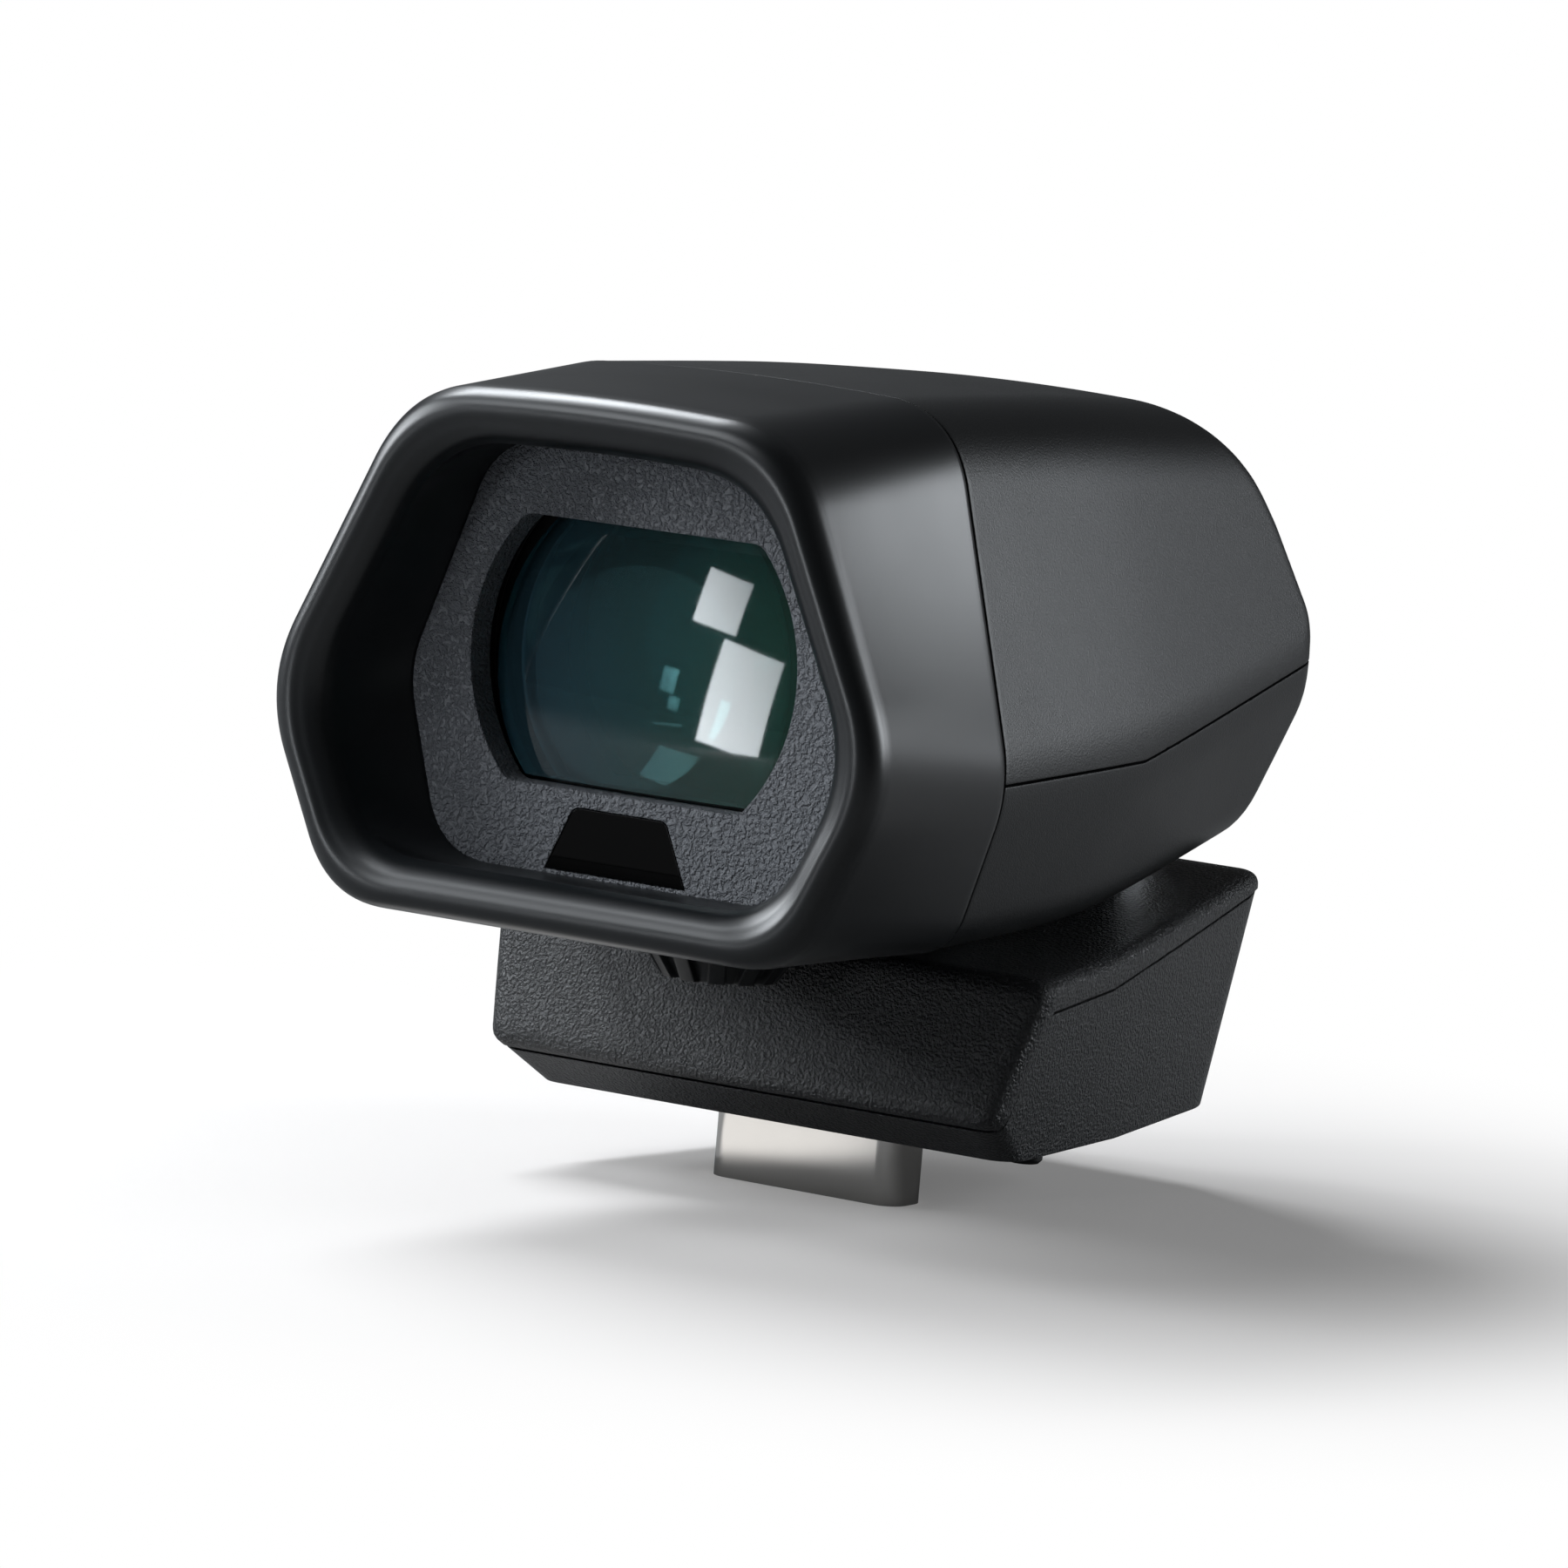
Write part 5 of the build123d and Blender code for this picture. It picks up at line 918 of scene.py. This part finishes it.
    def open_slot(self, piece: bpy.types.Object) -> None:
        """Take the gap that the hinge knuckle turns in out of the open skin."""
        half, front = self.slot_half * MM, self.slot_front * MM
        body = bmesh.new()
        body.from_mesh(piece.data)
        for place, way in (((half, 0, 0), (1, 0, 0)), ((-half, 0, 0), (1, 0, 0)), ((0, front, 0), (0, 1, 0))):
            everything = body.verts[:] + body.edges[:] + body.faces[:]
            bmesh.ops.bisect_plane(body, geom=everything, plane_co=place, plane_no=way)
        inside = []
        for face in body.faces:
            centre = face.calc_center_median()
            if abs(centre.x) < half and centre.y > front:
                inside.append(face)
        bmesh.ops.delete(body, geom=inside, context="FACES")
        bmesh.ops.remove_doubles(body, verts=body.verts[:], dist=0.06 * MM)
        body.to_mesh(piece.data)
        body.free()

    def build(self) -> bpy.types.Object:
        """Build and dress the cover.

        Returns:
            The cover.
        """
        piece = self.skin("base_cover_skin")
        keep_side(piece, self.split, self.split_gap, True)
        self.open_slot(piece)
        thicken(piece, self.wall, 0.2)
        dress(piece, "base")
        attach(piece, "base")
        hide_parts("base_upper_cover")
        return piece


@dataclass
class EyeLens:
    """Lens behind the opening: two smooth faces between flats, joined by its edge."""

    apex: float = -32.7
    front_rim: float = -28.6
    back_rim: float = -25.4
    back_sag: float = 3.8
    front_bend: float = 85.0
    low_middle: float = 30.2
    face: tuple[float, float] = (14.85, 10.25)
    rim: tuple[float, float] = (15.3, 10.9)
    clear: tuple[float, float] = (14.4, 10.9)
    around: int = 256
    steps: int = 48

    def front(self, x: Array, z: Array) -> Array:
        """Place of the front face along the axis."""
        away = x**2 + (z - self.low_middle) ** 2
        return self.apex + self.front_bend - np.sqrt(self.front_bend**2 - away)

    def back(self, x: Array, z: Array) -> Array:
        """Place of the back face along the axis."""
        radius = self.clear[0]
        bend = (radius**2 + self.back_sag**2) / (2 * self.back_sag)
        away = np.minimum(x**2 + (z - AXIS_HEIGHT) ** 2, radius**2)
        return self.back_rim + self.back_sag - bend + np.sqrt(bend**2 - away)

    def ring(self, outline: tuple[float, float], share: float) -> tuple[Array, Array]:
        """Places across and heights on a flat-sided outline.

        Args:
            outline: Radius and half height.
            share: Share of the way from the axis to the outline.

        Returns:
            X and Z of each point.
        """
        angles = np.arange(self.around) * 2 * pi / self.around
        across, up = np.cos(angles), np.sin(angles)
        reach = np.minimum(outline[0], outline[1] / np.maximum(np.abs(up), 1e-6)) * share
        return reach * across, AXIS_HEIGHT + reach * up

    def build(self) -> bpy.types.Object:
        """Build and dress the lens.

        Returns:
            The lens.
        """
        rings = []
        for share in np.linspace(0.02, 1, self.steps):
            x, z = self.ring(self.face, share)
            rings.append(np.stack([x, self.front(x, z), z], 1))
        for outline, y in (
            (self.face, self.front_rim),
            (self.rim, self.front_rim),
            (self.rim, self.back_rim),
        ):
            x, z = self.ring(outline, 1)
            rings.append(np.stack([x, np.full(self.around, y), z], 1))
        for share in np.linspace(1, 0.02, self.steps):
            x, z = self.ring(self.clear, share)
            rings.append(np.stack([x, self.back(x, z), z], 1))
        faces = loft_faces(len(rings), self.around, False)
        last = (len(rings) - 1) * self.around
        faces += [tuple(range(self.around)), tuple(range(last, last + self.around))]
        piece = make_piece("eye_lens_skin", np.vstack(rings), faces)
        piece.data.set_sharp_from_angle(angle=radians(35))
        dress(piece, "glass", LensGlass())
        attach(piece, "lens_carriage")
        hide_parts("eye_lens")
        return piece


@dataclass
class CarriedParts:
    """Parts that show with their own shape and get a finish."""

    slots: dict[str, str] = field(default_factory=dict)

    def dress(self) -> int:
        """Give each part the finish of its slot.

        Returns:
            How many parts were dressed.
        """
        for row in frame["record"]["subparts"]:
            node = frame["nodes"][row["node"]]
            node.data.materials.clear()
            node.data.materials.append(FINISHES[row["material_slot"]].material())
        return len(frame["nodes"])


@dataclass(frozen=True)
class Lamp:
    """One rectangular soft lamp, placed by its direction from the eyepiece.

    Azimuth is in degrees to the right of the eye's side, elevation in degrees
    above level, lengths are millimetres, and a radiance of 1 looks white.
    """

    name: str
    azimuth: float
    elevation: float
    distance: float
    width: float
    height: float
    radiance: float
    roll: float = 0.0
    fade: bool = False

    def shade(self, data: bpy.types.AreaLight) -> None:
        """Make the lamp brighter towards its lower left corner."""
        data.use_nodes = True
        nodes, links = data.node_tree.nodes, data.node_tree.links
        glow = nodes["Emission"]
        place = nodes.new("ShaderNodeNewGeometry")
        parts = nodes.new("ShaderNodeSeparateXYZ")
        links.new(place.outputs["Parametric"], parts.inputs["Vector"])
        total = nodes.new("ShaderNodeMath")
        links.new(parts.outputs["X"], total.inputs[0])
        links.new(parts.outputs["Y"], total.inputs[1])
        spread = nodes.new("ShaderNodeMapRange")
        spread.inputs["From Max"].default_value = 2
        spread.inputs["To Min"].default_value = 1.25
        spread.inputs["To Max"].default_value = 0.5
        links.new(total.outputs[0], spread.inputs["Value"])
        links.new(spread.outputs["Result"], glow.inputs["Strength"])


LAMPS: tuple[Lamp, ...] = (
    Lamp("rear_right_softbox", 139, 13, 800, 330, 300, 8.8),
    Lamp("left_softbox", -74, 21, 760, 320, 300, 9.5),
    Lamp("front_high_softbox", -38, 42, 740, 330, 250, 6.5),
    Lamp("crest_strip", -112, 48, 760, 460, 100, 34.0),
    Lamp("near_left_card", -62, 13, 200, 58, 58, 16.0),
    Lamp("upper_window", -24.4, 11.6, 600, 64, 62, 13.0, roll=7, fade=True),
    Lamp("lower_window", -19.9, 1.5, 600, 88, 120, 16.0, roll=10, fade=True),
    Lamp("arc_strip", -24, 21.5, 600, 170, 16, 4.0, roll=-6),
)


@dataclass
class Studio:
    """Camera, lamps, floor and background."""

    azimuth: float = 31.5
    elevation: float = 6.5
    roll: float = 4.9
    distance: float = 714.29
    slide: float = -5.395
    lift: float = 26.54
    focal: float = 200.0
    floor_height: float = -6.32
    aim: Point = (6.0, -31.5, 38.5)
    tint: Color = (0.91, 0.955, 1.0)

    def camera(self) -> None:
        """Camera at the photograph's viewing angle."""
        a, e, r = radians(self.azimuth), radians(self.elevation), radians(self.roll)
        right = Vector((cos(a), sin(a), 0))
        up = Vector((-sin(a) * sin(e), cos(a) * sin(e), cos(e)))
        back = Vector((sin(a) * cos(e), -cos(a) * cos(e), sin(e)))
        place = (back * self.distance + right * self.slide + up * self.lift) * MM
        turned_right = right * cos(r) + up * sin(r)
        turned_up = up * cos(r) - right * sin(r)
        data = bpy.data.cameras.new("view")
        data.lens = self.focal
        data.sensor_width = 36
        data.clip_start = 0.01
        data.clip_end = 20
        camera = bpy.data.objects.new("view", data)
        bpy.context.scene.collection.objects.link(camera)
        columns = Matrix((turned_right, turned_up, back)).transposed()
        camera.matrix_world = Matrix.Translation(place) @ columns.to_4x4()
        bpy.context.scene.camera = camera

    def lamp(self, card: "Lamp") -> None:
        """Hang one rectangular soft lamp so that it faces the eyepiece.

        Args:
            card: The lamp's place, size and brightness.
        """
        data = bpy.data.lights.new(card.name, "AREA")
        data.shape = "RECTANGLE"
        data.size, data.size_y = card.width * MM, card.height * MM
        data.energy = card.radiance * pi * data.size * data.size_y
        data.color = self.tint
        if card.fade:
            card.shade(data)
        lamp = bpy.data.objects.new(card.name, data)
        a, e, r = radians(card.azimuth), radians(card.elevation), radians(card.roll)
        way = Vector((sin(a) * cos(e), -cos(a) * cos(e), sin(e)))
        side = Vector((cos(a), sin(a), 0))
        up = Vector((-sin(a) * sin(e), cos(a) * sin(e), cos(e)))
        columns = Matrix((side * cos(r) - up * sin(r), up * cos(r) + side * sin(r), way)).transposed()
        place = (Vector(self.aim) + way * card.distance) * MM
        lamp.matrix_world = Matrix.Translation(place) @ columns.to_4x4()
        lamp.visible_camera = False
        bpy.context.scene.collection.objects.link(lamp)

    def lamps(self) -> None:
        """Soft lamps round the object, and the window cards that the lens mirrors."""
        for card in LAMPS:
            self.lamp(card)

    def world(self) -> None:
        """White background, with a low even light on the object."""
        world = bpy.data.worlds.new("studio")
        world.use_nodes = True
        nodes, links = world.node_tree.nodes, world.node_tree.links
        shade = nodes["Background"]
        shade.inputs["Color"].default_value = (1, 1, 1, 1)
        path = nodes.new("ShaderNodeLightPath")
        seen = nodes.new("ShaderNodeMath")
        seen.operation = "MAXIMUM"
        links.new(path.outputs["Is Camera Ray"], seen.inputs[0])
        links.new(path.outputs["Is Transmission Ray"], seen.inputs[1])
        mirrored = nodes.new("ShaderNodeMath")
        mirrored.operation = "MULTIPLY"
        mirrored.inputs[1].default_value = 0.05
        links.new(path.outputs["Is Glossy Ray"], mirrored.inputs[0])
        both = nodes.new("ShaderNodeMath")
        both.operation = "MAXIMUM"
        links.new(seen.outputs[0], both.inputs[0])
        links.new(mirrored.outputs[0], both.inputs[1])
        level = nodes.new("ShaderNodeMath")
        level.operation = "MAXIMUM"
        level.inputs[1].default_value = 0.03
        links.new(both.outputs[0], level.inputs[0])
        links.new(level.outputs[0], shade.inputs["Strength"])
        bpy.context.scene.world = world

    def floor(self) -> None:
        """Pale floor that fades into the background, with a spot in front of the plug that glows for mirrored rays
        only: a painted reflection on the nickel plug.
        """
        span, rows = 3000.0, 2
        points = [(x, y, self.floor_height) for x in (-span, span) for y in (-span, span)]
        piece = make_piece("floor", np.array(points), [(0, 2, 3, 1)])
        made = bpy.data.materials.new("pale_floor")
        made.use_nodes = True
        nodes, links = made.node_tree.nodes, made.node_tree.links
        nodes.clear()
        out = nodes.new("ShaderNodeOutputMaterial")
        matt = nodes.new("ShaderNodeBsdfDiffuse")
        tone = nodes.new("ShaderNodeMix")
        tone.data_type = "RGBA"
        tone.inputs[6].default_value = (0.22, 0.22, 0.22, 1)
        tone.inputs[7].default_value = (0.80, 0.765, 0.74, 1)
        links.new(tone.outputs[2], matt.inputs["Color"])
        glow = nodes.new("ShaderNodeEmission")
        mix = nodes.new("ShaderNodeMixShader")
        place = nodes.new("ShaderNodeTexCoord")
        reach = nodes.new("ShaderNodeVectorMath")
        reach.operation = "LENGTH"
        links.new(place.outputs["Object"], reach.inputs[0])
        fade = nodes.new("ShaderNodeMapRange")
        fade.interpolation_type = "SMOOTHSTEP"
        fade.inputs["From Min"].default_value = 0.04
        fade.inputs["From Max"].default_value = 0.122
        fade.inputs["To Min"].default_value = 0.12
        links.new(reach.outputs["Value"], fade.inputs["Value"])
        path = nodes.new("ShaderNodeLightPath")
        seen = nodes.new("ShaderNodeMath")
        seen.operation = "MAXIMUM"
        links.new(path.outputs["Is Camera Ray"], seen.inputs[0])
        links.new(path.outputs["Is Transmission Ray"], seen.inputs[1])
        # Painted highlight: a floor spot in front of the plug glows for mirrored rays only, so the nickel plug shows a
        # painted reflection there.
        beside = nodes.new("ShaderNodeVectorMath")
        beside.operation = "DISTANCE"
        beside.inputs[1].default_value = (-23 * MM, -24 * MM, self.floor_height * MM)
        links.new(place.outputs["Object"], beside.inputs[0])
        card = nodes.new("ShaderNodeMapRange")
        card.interpolation_type = "SMOOTHSTEP"
        card.inputs["From Min"].default_value = 8 * MM
        card.inputs["From Max"].default_value = 22 * MM
        card.inputs["To Min"].default_value = 1.0
        card.inputs["To Max"].default_value = 0.06
        links.new(beside.outputs["Value"], card.inputs["Value"])
        mirrored = nodes.new("ShaderNodeMath")
        mirrored.operation = "MULTIPLY_ADD"
        links.new(card.outputs["Result"], mirrored.inputs[1])
        links.new(path.outputs["Is Glossy Ray"], mirrored.inputs[0])
        links.new(seen.outputs[0], mirrored.inputs[2])
        links.new(mirrored.outputs[0], tone.inputs[0])
        # Share of the painted glow that mirrored rays see at the spot in front of the plug.
        plug_glint_share = nodes.new("ShaderNodeMath")
        plug_glint_share.operation = "MULTIPLY"
        links.new(path.outputs["Is Glossy Ray"], plug_glint_share.inputs[0])
        links.new(card.outputs["Result"], plug_glint_share.inputs[1])
        given = nodes.new("ShaderNodeMath")
        given.operation = "MAXIMUM"
        links.new(fade.outputs["Result"], given.inputs[0])
        links.new(plug_glint_share.outputs[0], given.inputs[1])
        share = nodes.new("ShaderNodeMath")
        share.operation = "MULTIPLY"
        links.new(mirrored.outputs[0], share.inputs[0])
        links.new(given.outputs[0], share.inputs[1])
        links.new(share.outputs[0], mix.inputs["Fac"])
        links.new(matt.outputs[0], mix.inputs[1])
        links.new(glow.outputs[0], mix.inputs[2])
        clear = nodes.new("ShaderNodeBsdfTransparent")
        below = nodes.new("ShaderNodeNewGeometry")
        sided = nodes.new("ShaderNodeMixShader")
        links.new(below.outputs["Backfacing"], sided.inputs["Fac"])
        links.new(mix.outputs[0], sided.inputs[1])
        links.new(clear.outputs[0], sided.inputs[2])
        links.new(sided.outputs[0], out.inputs["Surface"])
        piece.data.materials.append(made)

    def build(self) -> None:
        """Set up the whole studio."""
        bpy.context.scene.view_settings.view_transform = "Standard"
        self.camera()
        self.lamps()
        self.world()
        self.floor()


def main() -> None:
    """Build every sub-assembly."""
    logging.basicConfig(level=logging.INFO, format="%(name)s: %(message)s")
    Studio().build()
    LOG.info("studio ready")
    LOG.info("%d carried parts dressed", CarriedParts().dress())
    for piece in (Eyecup().build(), *HeadShell().build(), BaseCover().build(), EyeLens().build()):
        LOG.info("%s: %d faces", piece.name, len(piece.data.polygons))


if __name__ == "__main__":
    main()
